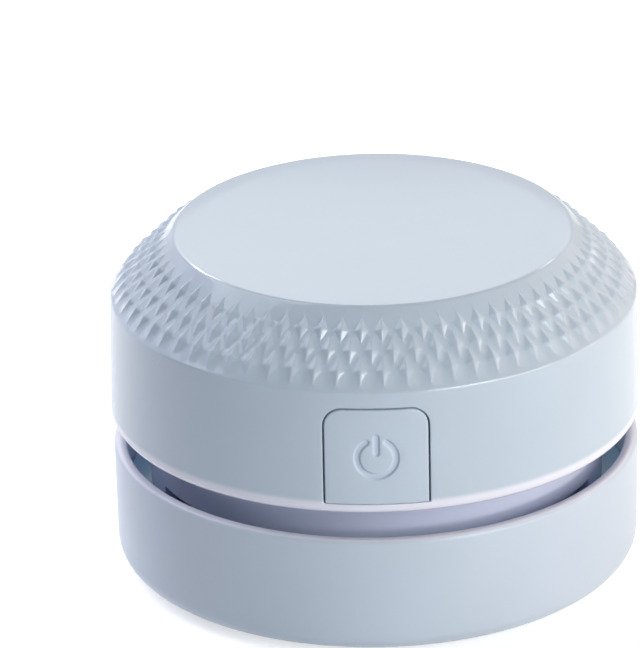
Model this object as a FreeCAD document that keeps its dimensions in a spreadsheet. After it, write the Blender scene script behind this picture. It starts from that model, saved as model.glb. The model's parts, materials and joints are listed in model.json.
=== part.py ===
import FreeCAD, Part
import math
import os
import Sketcher
from FreeCAD import Rotation, Vector

# Desktop mini vacuum cleaner, in millimetres and degrees.
# The axis of the round body is Z, the table is at height 0 and the button faces -Y.
# A motor unit with fan, cells and switch plugs into a dust cup that stands on the table.

SIZES = {
    # feet
    "foot_height": 1.0,
    "foot_radius": 4.0,
    "foot_inset": 8.9,
    "foot_recess": 0.4,
    "foot_count": 4,
    # dust cup
    "cup_height": 20.3,
    "cup_top_radius": 43.1,
    "cup_taper": 0.2,
    "cup_floor": 1.8,
    "cup_wall": 2.9,
    "rim_wall": 2.1,
    "rim_round": 0.9,
    "cup_edge_round": 3.8,
    "bell_radius": 20.0,
    "bell_depth": 3.2,
    "bell_wall": 1.6,
    "inlet_radius": 9.0,
    "chimney_wall": 1.6,
    "chimney_gap": 1.2,
    # ring with ledge and collar
    "ledge_height": 12.4,
    "ledge_thickness": 1.8,
    "ledge_width": 3.8,
    "collar_depth": 3.5,
    "collar_wall": 1.5,
    "ring_clearance": 0.1,
    # brush
    "brush_margin": 1.5,
    "brush_width": 4.0,
    "brush_thickness": 1.2,
    "tuft_radius": 0.9,
    "tuft_tip": 0.3,
    "tuft_seat": 0.8,
    "tuft_count": 30,
    # neck, spigot and motor deck
    "seal_thickness": 0.8,
    "seal_width": 1.8,
    "neck_wall": 2.0,
    "spigot_wall": 2.0,
    "spigot_length": 4.6,
    "spigot_clearance": 0.3,
    "shoulder_web": 1.0,
    "gap_height": 4.6,
    "deck_drop": 3.1,
    "deck_thickness": 2.0,
    "window_width": 10.4,
    "window_height": 2.9,
    "window_count": 6,
    # fan shroud
    "shroud_thickness": 1.0,
    "shroud_clearance": 0.2,
    "eye_radius": 10.0,
    "shroud_screw_inset": 4.2,
    "shroud_boss_radius": 2.5,
    "shroud_screw_count": 3,
    # filter
    "frame_height": 3.2,
    "frame_wall": 1.8,
    "frame_rib": 1.6,
    "frame_rib_height": 1.0,
    "frame_mid_radius": 17.0,
    "mesh_thickness": 0.4,
    # fan
    "fan_clearance": 2.5,
    "fan_gap": 0.6,
    "blade_root": 8.0,
    "blade_thickness": 0.9,
    "blade_bend": 16.0,
    "blade_lean": 17.0,
    "blade_count": 9,
    "fan_plate": 0.8,
    "hub_radius": 4.0,
    "hub_rise": 0.8,
    "hub_gap": 0.6,
    # motor
    "motor_length": 25.0,
    "motor_radius": 10.05,
    "motor_half_width": 7.55,
    "can_wall": 0.5,
    "can_lip": 1.0,
    "nose_radius": 3.05,
    "nose_height": 1.5,
    "nose_clearance": 0.1,
    "end_cap_height": 3.5,
    "shaft_radius": 1.0,
    "shaft_clearance": 0.05,
    "shaft_end": 0.6,
    "bush_radius": 2.2,
    "bush_length": 3.2,
    "core_gap": 0.65,
    "core_start": 4.7,
    "air_gap": 0.5,
    "pole_span": 104.0,
    "pole_shoe": 1.2,
    "pole_stem": 2.4,
    "core_hub_radius": 2.2,
    "coil_width": 6.0,
    "coil_overhang": 1.0,
    "magnet_span": 90.0,
    "commutator_radius": 2.2,
    "commutator_length": 3.2,
    "commutator_gap": 0.6,
    "brush_leaf": 0.3,
    "brush_leaf_width": 2.0,
    "brush_leaf_length": 3.5,
    "terminal_width": 2.4,
    "terminal_thickness": 0.4,
    "terminal_reach": 2.9,
    # top shell: wall, knurled cone and flat top
    "wall_height": 21.0,
    "wall_overhang": 0.4,
    "wall_taper": 0.5,
    "shell_wall": 2.0,
    "wall_low_round": 1.6,
    "shoulder_round": 0.8,
    "cone_height": 10.4,
    "top_radius": 32.4,
    "top_round": 1.2,
    "shell_boss_radius": 3.2,
    "shell_boss_root": 0.2,
    "knurl_count": 70,
    "knurl_rows": 3,
    "knurl_start": 3.65,
    "knurl_end": 4.2,
    "knurl_width": 2.55,
    "knurl_lap": 1.6,
    "knurl_rise": 0.75,
    "knurl_root": 0.15,
    "knurl_turn": -0.7,
    # button and switch
    "button_width": 16.5,
    "button_height": 16.1,
    "button_corner": 2.9,
    "button_gap": 0.25,
    "button_travel": 1.5,
    "flange_margin": 1.0,
    "flange_thickness": 1.0,
    "flange_gap": 0.2,
    "symbol_height": 7.85,
    "symbol_radius": 3.65,
    "symbol_line": 1.05,
    "symbol_opening": 42.0,
    "symbol_bar_rise": 4.1,
    "symbol_bar_foot": 0.3,
    "symbol_depth": 0.4,
    "stem_size": 6.0,
    "stem_length": 1.5,
    "plunger_size": 3.2,
    "plunger_seat": 1.0,
    "plunger_clearance": 0.2,
    "plunger_head": 4.6,
    "plunger_head_length": 2.0,
    "switch_size": 8.0,
    "switch_depth": 8.0,
    "switch_wall": 0.8,
    "switch_play": 0.4,
    "switch_space": 2.6,
    "pin_radius": 0.3,
    "pin_length": 2.2,
    "pin_pitch": 2.5,
    # chassis with the cells' walls
    "chassis_thickness": 1.75,
    "chassis_clearance": 0.1,
    "end_wall": 1.2,
    "end_wall_height": 13.8,
    "end_wall_width": 44.0,
    "divider_wall": 0.9,
    "divider_length": 16.0,
    "divider_height": 12.0,
    "rib_clearance": 0.15,
    "cradle_height": 4.2,
    "cradle_width": 2.0,
    "cradle_place": 17.0,
    "cell_radius": 7.1,
    "nub_length": 1.0,
    "nub_radius": 2.9,
    "cell_clearance": 0.1,
    "strip_thickness": 0.2,
    "strip_width": 4.0,
    "strip_height": 14.5,
    "board_thickness": 1.2,
    "board_width": 20.0,
    "board_height": 14.1,
    # wires, and where they meet the boards
    "lead_radius": 0.6,
    "battery_pad_x": 8.0,
    "charge_pad_x": 4.8,
    "motor_pad_x": 1.6,
    "socket_pad_x": 1.6,
    # charging socket and its board, at the rear
    "socket_width": 8.94,
    "socket_height": 3.26,
    "socket_length": 7.3,
    "socket_wall": 0.3,
    "socket_recess": 0.5,
    "socket_clearance": 0.3,
    "socket_back_wall": 1.2,
    "tongue_width": 6.7,
    "tongue_thickness": 0.7,
    "tongue_length": 4.6,
    "charge_board_lift": 2.4,
    "charge_board_width": 19.0,
    "charge_board_length": 9.0,
    "socket_overhang": 2.8,
    "charge_screw_x": 7.2,
    "charge_screw_inset": 2.2,
    # posts, clamp and screws
    "post_radius": 2.8,
    "post_place": 15.0,
    "clamp_width": 8.0,
    "clamp_overhang": 3.0,
    "clamp_thickness": 1.5,
    "boss_gap": 2.85,
    "body_screw_y": 8.0,
    "body_boss_radius": 2.8,
    "body_screw_length": 14.0,
    "clamp_screw_length": 6.5,
    "board_screw_x": 6.6,
    "board_screw_rise": 11.6,
    "board_boss_radius": 2.0,
    "board_boss_length": 4.0,
    "board_screw_length": 4.4,
    "shroud_screw_length": 4.8,
    "screw_radius": 1.1,
    "screw_hole": 0.4,
    "screw_tip_gap": 0.5,
    "head_radius": 2.2,
    "head_height": 1.2,
    "small_screw_radius": 0.9,
    "small_head_radius": 1.8,
    "cross_width": 0.5,
    "cross_depth": 0.7,
    "cross_length": 2.2,
}

# Heights, radii and places that follow from the sizes.
PLACES = {
    "cup_base": "=Size.foot_height",
    "rim_top": "=cup_base + Size.cup_height",
    "rim_inner": "=Size.cup_top_radius - Size.rim_wall",
    "cup_inner": "=Size.cup_top_radius - Size.cup_wall",
    "cup_low_radius": "=Size.cup_top_radius - Size.cup_taper",
    "foot_place": "=cup_low_radius - Size.foot_inset",
    "floor_top": "=cup_base + Size.cup_floor",
    "bell_top": "=cup_base + Size.bell_depth",
    "bell_roof": "=bell_top + Size.bell_wall",
    "brush_place": "=Size.bell_radius - Size.brush_margin - Size.brush_width / 2",
    "holder_low": "=bell_top - Size.brush_thickness",
    "ledge_top": "=cup_base + Size.ledge_height",
    "ledge_low": "=ledge_top - Size.ledge_thickness",
    "collar_low": "=ledge_top - Size.collar_depth",
    "neck_radius": "=rim_inner - Size.ledge_width",
    "neck_bore": "=neck_radius - Size.neck_wall",
    "spigot_radius": "=neck_radius - Size.seal_width",
    "spigot_bore": "=spigot_radius - Size.spigot_wall",
    "collar_bore": "=spigot_radius + Size.spigot_clearance",
    "shoulder": "=ledge_top + Size.seal_thickness",
    "spigot_low": "=shoulder - Size.spigot_length",
    "chimney_top": "=spigot_low - Size.chimney_gap",
    "window_low": "=shoulder + Size.shoulder_web",
    "wall_low": "=rim_top + Size.gap_height",
    "deck_top": "=wall_low - Size.deck_drop",
    "deck_low": "=deck_top - Size.deck_thickness",
    "frame_radius": "=spigot_bore - Size.shroud_clearance",
    "frame_bore": "=frame_radius - Size.frame_wall",
    "mesh_low": "=spigot_low + Size.frame_rib_height",
    "shroud_low": "=spigot_low + Size.frame_height",
    "shroud_top": "=shroud_low + Size.shroud_thickness",
    "shroud_boss_place": "=frame_radius - Size.shroud_screw_inset",
    "fan_radius": "=shroud_boss_place - Size.shroud_boss_radius - Size.fan_clearance",
    "hub_top": "=deck_low - Size.hub_gap",
    "plate_top": "=hub_top - Size.hub_rise",
    "plate_low": "=plate_top - Size.fan_plate",
    "blade_low": "=shroud_top + Size.fan_gap",
    "blade_height": "=plate_low - blade_low",
    "nose_low": "=deck_top - Size.nose_height",
    "motor_top": "=deck_top + Size.motor_length",
    "can_top": "=motor_top - Size.can_lip",
    "can_bore": "=Size.motor_radius - Size.can_wall",
    "can_half_bore": "=Size.motor_half_width - Size.can_wall",
    "end_cap_low": "=motor_top - Size.end_cap_height",
    "shaft_top": "=motor_top - Size.shaft_end",
    "bush_bore": "=Size.shaft_radius + Size.shaft_clearance",
    "rear_bush_low": "=motor_top - Size.bush_length",
    "commutator_top": "=end_cap_low - Size.commutator_gap",
    "commutator_low": "=commutator_top - Size.commutator_length",
    "coil_top": "=commutator_low - Size.air_gap",
    "core_top": "=coil_top - Size.coil_overhang",
    "core_low": "=deck_top + Size.core_start",
    "coil_low": "=core_low - Size.coil_overhang",
    "core_radius": "=can_half_bore - Size.core_gap",
    "shoe_bore": "=core_radius - Size.pole_shoe",
    "magnet_bore": "=core_radius + Size.air_gap",
    "chassis_top": "=wall_low + Size.chassis_thickness",
    "wall_low_radius": "=Size.cup_top_radius + Size.wall_overhang",
    "shoulder_radius": "=wall_low_radius - Size.wall_taper",
    "flange_face": "=Size.shell_wall + Size.flange_gap",
    "flange_back": "=flange_face + Size.flange_thickness",
    "stem_root": "=shoulder_radius - flange_back",
    "stem_end": "=stem_root - Size.stem_length",
    "plunger_tip": "=stem_end + Size.plunger_seat",
    "panel_root": "=stem_end - Size.button_travel",
    "switch_front": "=stem_end - Size.switch_space",
    "board_front": "=switch_front - Size.switch_depth",
    "board_back": "=board_front - Size.board_thickness",
    "end_wall_outer": "=board_back",
    "end_wall_inner": "=end_wall_outer - Size.end_wall",
    "cell_length": "=2 * (end_wall_inner - Size.strip_thickness - Size.cell_clearance)",
    "divider_inner": "=Size.motor_half_width + Size.rib_clearance",
    "divider_outer": "=divider_inner + Size.divider_wall",
    "cell_place": "=divider_outer + Size.rib_clearance + Size.cell_radius",
    "cell_axis": "=chassis_top + Size.cell_clearance + Size.cell_radius",
    "strip_top": "=chassis_top + Size.strip_height",
    "body_screw_x": "=cell_place + Size.cell_radius + Size.boss_gap + Size.shell_boss_radius",
    "cone_low": "=wall_low + Size.wall_height",
    "shell_top": "=cone_low + Size.cone_height",
    "wall_slope": "=Size.wall_taper / Size.wall_height",
    "wall_bore": "=wall_low_radius - Size.shell_wall",
    "chassis_radius": "=wall_bore - wall_slope * Size.chassis_thickness - Size.chassis_clearance",
    "cone_run": "=shoulder_radius - Size.top_radius",
    "cone_length": "=sqrt(cone_run * cone_run + Size.cone_height * Size.cone_height)",
    "knurl_step": "=(cone_length - Size.knurl_start - Size.knurl_end) / (Size.knurl_rows - 1)",
    "knurl_length": "=knurl_step + Size.knurl_lap",
    "cone_inset": "=Size.shell_wall * cone_length / Size.cone_height",
    "ceiling": "=shell_top - Size.shell_wall",
    "ceiling_radius": "=Size.top_radius + Size.shell_wall * cone_run / Size.cone_height - cone_inset",
    "shoulder_drop": "=(cone_inset - Size.shell_wall) / (cone_run / Size.cone_height - wall_slope)",
    "inner_shoulder": "=cone_low - shoulder_drop",
    "shoulder_bore": "=shoulder_radius - Size.shell_wall + wall_slope * shoulder_drop",
    "button_low": "=chassis_top + Size.button_gap",
    "button_top": "=button_low + Size.button_height",
    "symbol_place": "=button_low + Size.symbol_height",
    "symbol_mean": "=Size.symbol_radius - Size.symbol_line / 2",
    "symbol_cut": "=Size.symbol_opening + Size.symbol_line / symbol_mean * 180 / pi",
    "charge_board_low": "=chassis_top + Size.charge_board_lift",
    "socket_low": "=charge_board_low + Size.board_thickness",
    "socket_place": "=socket_low + Size.socket_height / 2",
    "socket_mouth": "=shoulder_radius - Size.socket_recess",
    "socket_back": "=socket_mouth - Size.socket_length",
    "charge_board_rear": "=socket_mouth - Size.socket_overhang",
    "charge_board_front": "=charge_board_rear - Size.charge_board_length",
    "charge_screw_place": "=charge_board_front + Size.charge_screw_inset",
    "screw_clear_radius": "=Size.screw_radius + Size.screw_hole",
    "small_screw_clear": "=Size.small_screw_radius + Size.screw_hole",
    "clamp_top": "=motor_top + Size.clamp_thickness",
    "board_screw_height": "=chassis_top + Size.board_screw_rise",
}

FRONT = 270.0        # azimuth of the button, counter-clockwise from +X
BEYOND = 4.0         # how far a cutting tool runs past the face that it cuts
UPSIDE_DOWN = Rotation(Vector(1, 0, 0), 180)
FORWARD = Rotation(Vector(1, 0, 0), 90)

doc = FreeCAD.newDocument("desktop_vacuum")


def fill_sheet(label, cells):
    """Spreadsheet with one named cell a row and its name beside it."""
    sheet = doc.addObject("Spreadsheet::Sheet", label)
    for row, (alias, content) in enumerate(cells.items(), start=1):
        sheet.set(f"A{row}", alias)
        sheet.set(f"B{row}", str(content))
        sheet.setAlias(f"B{row}", alias)
    doc.recompute()
    return sheet


size_sheet = fill_sheet("Size", SIZES)
place_sheet = fill_sheet("Place", PLACES)


def number(expression):
    """Value of an expression on the two sheets."""
    value = place_sheet.evalExpression(expression)
    return float(getattr(value, "Value", value))


def count(alias):
    return int(round(number(f"Size.{alias}")))


# ---- building blocks, all bound to the sheets ----

def place(item, x="0", y="0", z="0"):
    """Bind an object's position."""
    for axis, expression in (("x", x), ("y", y), ("z", z)):
        if expression != "0":
            item.setExpression(f"Placement.Base.{axis}", expression)
    return item


def rod(name, radius, low, high, x="0", y="0"):
    """Upright cylinder between two heights."""
    item = doc.addObject("Part::Cylinder", name)
    item.setExpression("Radius", radius)
    item.setExpression("Height", f"{high} - ({low})")
    return place(item, x, y, low)


def cross_rod(name, radius, back, front, x="0", z="0"):
    """Cylinder along Y that runs from y = -back to y = -front, where front is the larger."""
    item = doc.addObject("Part::Cylinder", name)
    item.setExpression("Radius", radius)
    item.setExpression("Height", f"{front} - ({back})")
    item.Placement.Rotation = Rotation(Vector(1, 0, 0), 90)
    return place(item, x, f"-({back})", z)


def block(name, x, y, z):
    """Box between (low, high) pairs of expressions."""
    item = doc.addObject("Part::Box", name)
    for side, (low, high) in (("Length", x), ("Width", y), ("Height", z)):
        item.setExpression(side, f"{high} - ({low})")
    return place(item, x[0], y[0], z[0])


def around(half):
    """The pair of expressions from minus half to plus half."""
    return (f"-({half})", half)


def cut(name, base, *tools):
    item = doc.addObject("Part::Cut", name)
    item.Base = base
    item.Tool = tools[0] if len(tools) == 1 else fuse(name + "_tools", *tools)
    return item


def fuse(name, *pieces):
    item = doc.addObject("Part::MultiFuse", name)
    item.Shapes = list(pieces)
    return item


def common(name, *pieces):
    item = doc.addObject("Part::MultiCommon", name)
    item.Shapes = list(pieces)
    return item


def group(name, *pieces):
    """Separate solids that share one node."""
    item = doc.addObject("Part::Compound", name)
    item.Links = list(pieces)
    return item


def ring(name, bore, radius, low, high):
    return cut(name, rod(name + "_disc", radius, low, high), rod(name + "_bore", bore, low, high))


def turn(item, angle):
    """Turn an object about the Z axis after its own placement was bound."""
    doc.recompute()
    item.Placement = FreeCAD.Placement(Vector(), Rotation(Vector(0, 0, 1), angle)).multiply(item.Placement)
    return item


def sector(name, bore, radius, low, high, middle, span):
    """Part of a ring, centred on the azimuth middle; a bore of None leaves it whole."""
    pieces = [rod(name + "_disc", radius, low, high)]
    if bore is not None:
        pieces.append(rod(name + "_bore", bore, low, high))
    for item in pieces:
        item.setExpression("Angle", span)
        item.Placement.Rotation = Rotation(Vector(0, 0, 1), middle - number(span) / 2)
    return pieces[0] if bore is None else cut(name, *pieces)


def plane_of(body, role):
    return [feature for feature in body.Origin.OriginFeatures if feature.Role == role][0]


def new_sketch(body, name, role):
    sketch = body.newObject("Sketcher::SketchObject", name)
    sketch.AttachmentSupport = [(plane_of(body, role), "")]
    sketch.MapMode = "FlatFace"
    return sketch


def constrain(sketch, kind, *where, expression):
    """Add a sized constraint and bind it to an expression."""
    index = sketch.addConstraint(Sketcher.Constraint(kind, *where, number(expression)))
    sketch.setExpression(f"Constraints[{index}]", expression)


def outline(sketch, corners):
    """Closed outline through (x, y) corners, each corner bound to the sheets."""
    points = [Vector(number(x), number(y), 0) for x, y in corners]
    total = len(points)
    for index in range(total):
        sketch.addGeometry(Part.LineSegment(points[index], points[(index + 1) % total]))
    for index in range(total):
        sketch.addConstraint(Sketcher.Constraint("Coincident", index, 2, (index + 1) % total, 1))
    for index, (x, y) in enumerate(corners):
        for kind, axis, expression in (("DistanceX", -2, x), ("DistanceY", -1, y)):
            if expression == "0":
                sketch.addConstraint(Sketcher.Constraint("PointOnObject", index, 1, axis))
            else:
                constrain(sketch, kind, -1, 1, index, 1, expression=expression)


def turned(name, corners):
    """Body turned about Z from an outline of (radius, height) corners."""
    body = doc.addObject("PartDesign::Body", name)
    sketch = new_sketch(body, name + "_profile", "XZ_Plane")
    outline(sketch, corners)
    feature = body.newObject("PartDesign::Revolution", name + "_turn")
    feature.Profile = sketch
    feature.ReferenceAxis = (sketch, ["V_Axis"])
    feature.Angle = 360
    doc.recompute()
    return body


def round_circles(body, radius, *circles):
    """Fillet the circular edges of a body that lie at the given (radius, height) places."""
    base = body.Tip
    names = []
    for index, edge in enumerate(base.Shape.Edges, start=1):
        if not isinstance(edge.Curve, Part.Circle):
            continue
        for ring_radius, height in circles:
            off_radius = abs(edge.Curve.Radius - number(ring_radius))
            off_height = abs(edge.Curve.Center.z - number(height))
            if off_radius + off_height < 1e-4:
                names.append(f"Edge{index}")
    feature = body.newObject("PartDesign::Fillet", f"{body.Name}_round{len(body.Group)}")
    feature.Base = (base, names)
    feature.setExpression("Radius", radius)
    doc.recompute()
    return body


def screw(name, radius, length, head_radius):
    """Screw with a cross recess, its head above the origin and its shank below."""
    shank = rod(name + "_shank", radius, f"-({length})", "0")
    head = rod(name + "_head", head_radius, "0", "Size.head_height")
    recess = ("Size.head_height - Size.cross_depth", "Size.head_height")
    long_side = around("Size.cross_length / 2")
    short_side = around("Size.cross_width / 2")
    slots = [block(name + "_slot_a", long_side, short_side, recess),
             block(name + "_slot_b", short_side, long_side, recess)]
    return cut(name, fuse(name + "_blank", shank, head), *slots)


def fastened(name, radius, length, head_radius, sites, rotation=Rotation()):
    """Equal screws at (x, y, z) sites, all turned the same way."""
    screws = []
    for index, (x, y, z) in enumerate(sites):
        item = screw(f"{name}_{index}", radius, length, head_radius)
        item.Placement.Rotation = rotation
        screws.append(place(item, x, y, z))
    return group(name, *screws)


def spaced(total, first=0.0):
    """Equally spaced azimuths."""
    return [first + 360.0 * index / total for index in range(total)]


def polar(radius, azimuth):
    """Expressions for the x and y of a place on a circle."""
    angle = math.radians(azimuth)
    return f"{radius} * {math.cos(angle):.9f}", f"{radius} * {math.sin(angle):.9f}"


# ---- dust cup, on the table ----

def foot_azimuths():
    total = count("foot_count")
    return spaced(total, 180.0 / total)


def foot_pads():
    """Rubber pads in shallow recesses under the cup."""
    top = "Place.cup_base + Size.foot_recess"
    pads = [rod(f"foot_{index}", "Size.foot_radius", "0", top, *polar("Place.foot_place", azimuth))
            for index, azimuth in enumerate(foot_azimuths())]
    return group("foot_pads", *pads)


def dust_cup():
    """Cup with a bell-shaped recess under it and a chimney that lets the dust in."""
    bell_outer = "Size.bell_radius + Size.bell_wall"
    chimney_outer = "Size.inlet_radius + Size.chimney_wall"
    shell = turned("dust_cup_shell", [
        ("Size.inlet_radius", "Place.bell_top"),
        ("Size.bell_radius", "Place.bell_top"),
        ("Size.bell_radius", "Place.cup_base"),
        ("Place.cup_low_radius", "Place.cup_base"),
        ("Size.cup_top_radius", "Place.rim_top"),
        ("Place.rim_inner", "Place.rim_top"),
        ("Place.rim_inner", "Place.ledge_low"),
        ("Place.cup_inner", "Place.ledge_low"),
        ("Place.cup_inner", "Place.floor_top"),
        (bell_outer, "Place.floor_top"),
        (bell_outer, "Place.bell_roof"),
        (chimney_outer, "Place.bell_roof"),
        (chimney_outer, "Place.chimney_top"),
        ("Size.inlet_radius", "Place.chimney_top")])
    round_circles(shell, "Size.cup_edge_round", ("Place.cup_low_radius", "Place.cup_base"))
    round_circles(shell, "Size.rim_round",
                  ("Size.cup_top_radius", "Place.rim_top"), ("Place.rim_inner", "Place.rim_top"))
    recess_top = "Place.cup_base + Size.foot_recess"
    recesses = [rod(f"foot_recess_{index}", "Size.foot_radius + Size.ring_clearance",
                    "Place.cup_base", recess_top, *polar("Place.foot_place", azimuth))
                for index, azimuth in enumerate(foot_azimuths())]
    return cut("dust_cup", shell, *recesses)


def collar_ring():
    """Ring in the cup: a ledge under the neck and a collar round the spigot."""
    outer = "Place.rim_inner - Size.ring_clearance"
    collar_outer = "Place.collar_bore + Size.collar_wall"
    return turned("collar_ring", [
        ("Place.collar_bore", "Place.collar_low"),
        (collar_outer, "Place.collar_low"),
        (collar_outer, "Place.ledge_low"),
        (outer, "Place.ledge_low"),
        (outer, "Place.ledge_top"),
        ("Place.collar_bore", "Place.ledge_top")])


def brush_tufts():
    """Bristle tufts in a circle round the inlet."""
    top = "Place.holder_low + Size.tuft_seat"
    tufts = [rod(f"tuft_{index}", "Size.tuft_radius", "Size.tuft_tip", top,
                 *polar("Place.brush_place", azimuth))
             for index, azimuth in enumerate(spaced(count("tuft_count")))]
    return group("brush_tufts", *tufts)


def brush_holder(tufts):
    """Flat ring under the bell's roof with a blind hole for each tuft."""
    inner = "Place.brush_place - Size.brush_width / 2"
    outer = "Place.brush_place + Size.brush_width / 2"
    return cut("brush_holder", ring("brush_ring", inner, outer, "Place.holder_low", "Place.bell_top"), tufts)


# ---- neck with the fan's chamber ----

def shroud_sites():
    """Places midway between two windows."""
    first = FRONT + 180.0 / count("window_count")
    return [polar("Place.shroud_boss_place", azimuth)
            for azimuth in spaced(count("shroud_screw_count"), first)]


def body_sites():
    return [(f"{x} * Place.body_screw_x", f"{y} * Size.body_screw_y") for x in (-1, 1) for y in (-1, 1)]


def fan_housing():
    """Neck with exhaust windows, spigot below it and the deck that carries the motor."""
    motor_hole = "Size.nose_radius + Size.nose_clearance"
    shell = turned("fan_housing_shell", [
        ("Place.spigot_bore", "Place.spigot_low"),
        ("Place.spigot_radius", "Place.spigot_low"),
        ("Place.spigot_radius", "Place.shoulder"),
        ("Place.neck_radius", "Place.shoulder"),
        ("Place.neck_radius", "Place.wall_low"),
        ("Place.neck_bore", "Place.wall_low"),
        ("Place.neck_bore", "Place.deck_top"),
        (motor_hole, "Place.deck_top"),
        (motor_hole, "Place.deck_low"),
        ("Place.neck_bore", "Place.deck_low"),
        ("Place.neck_bore", "Place.window_low"),
        ("Place.spigot_bore", "Place.window_low")])
    shroud_bosses = [rod(f"shroud_boss_{index}", "Size.shroud_boss_radius",
                         "Place.shroud_top", "Place.deck_low", x, y)
                     for index, (x, y) in enumerate(shroud_sites())]
    body_bosses = [rod(f"body_boss_{index}", "Size.body_boss_radius",
                       "Place.deck_top", "Place.wall_low", x, y)
                   for index, (x, y) in enumerate(body_sites())]
    shroud_depth = "Place.shroud_low + Size.shroud_screw_length + Size.screw_tip_gap"
    shroud_pilots = [rod(f"shroud_pilot_{index}", "Size.small_screw_radius",
                         "Place.shroud_top", shroud_depth, x, y)
                     for index, (x, y) in enumerate(shroud_sites())]
    body_holes = [rod(f"body_hole_{index}", "Place.screw_clear_radius",
                      "Place.deck_low", "Place.wall_low", x, y)
                  for index, (x, y) in enumerate(body_sites())]
    head_rooms = [rod(f"head_room_{index}", "Size.head_radius + Size.ring_clearance",
                      "Place.deck_low - Size.head_height", "Place.deck_low", x, y)
                  for index, (x, y) in enumerate(body_sites())]
    windows = []
    for index, azimuth in enumerate(spaced(count("window_count"), FRONT)):
        window = block(f"window_{index}",
                       ("Place.spigot_bore", f"Place.neck_radius + {BEYOND}"),
                       around("Size.window_width / 2"),
                       ("Place.window_low", "Place.window_low + Size.window_height"))
        windows.append(turn(group(f"window_side_{index}", window), azimuth))
    solid = fuse("fan_housing_blank", shell, *shroud_bosses, *body_bosses)
    return cut("fan_housing", solid, *shroud_pilots, *body_holes, *head_rooms, *windows)


def neck_seal():
    """Soft flat ring between the neck's shoulder and the ledge."""
    return ring("neck_seal", "Place.spigot_radius + Size.ring_clearance",
                "Place.neck_radius - Size.ring_clearance", "Place.ledge_top", "Place.shoulder")


def fan_shroud():
    """Plate under the fan with the eye that the air comes through."""
    plate = ring("shroud_plate", "Size.eye_radius", "Place.frame_radius",
                 "Place.shroud_low", "Place.shroud_top")
    holes = [rod(f"shroud_hole_{index}", "Place.small_screw_clear",
                 "Place.shroud_low", "Place.shroud_top", x, y)
             for index, (x, y) in enumerate(shroud_sites())]
    return cut("fan_shroud", plate, *holes)


def shroud_screws():
    sites = [(x, y, "Place.shroud_low") for x, y in shroud_sites()]
    return fastened("shroud_screws", "Size.small_screw_radius", "Size.shroud_screw_length",
                    "Size.small_head_radius", sites, UPSIDE_DOWN)


def filter_frame():
    """Ring with an upright wall, a middle ring and three bars across."""
    wall = ring("frame_wall_ring", "Place.frame_bore", "Place.frame_radius",
                "Place.spigot_low", "Place.shroud_low")
    middle = ring("frame_middle_ring", "Size.frame_mid_radius - Size.frame_rib",
                  "Size.frame_mid_radius", "Place.spigot_low", "Place.mesh_low")
    half_length = "(Place.frame_bore + Place.frame_radius) / 2"
    bars = []
    for index in range(3):
        bar = block(f"frame_bar_{index}", around(half_length), around("Size.frame_rib / 2"),
                    ("Place.spigot_low", "Place.mesh_low"))
        bars.append(turn(group(f"frame_bar_side_{index}", bar), 30 + 60 * index))
    return fuse("filter_frame", wall, middle, *bars)


def filter_mesh():
    """Filter cloth on the frame's bars."""
    return rod("filter_mesh", "Place.frame_bore - Size.ring_clearance", "Place.mesh_low",
               "Place.mesh_low + Size.mesh_thickness")


# ---- fan and motor ----

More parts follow.
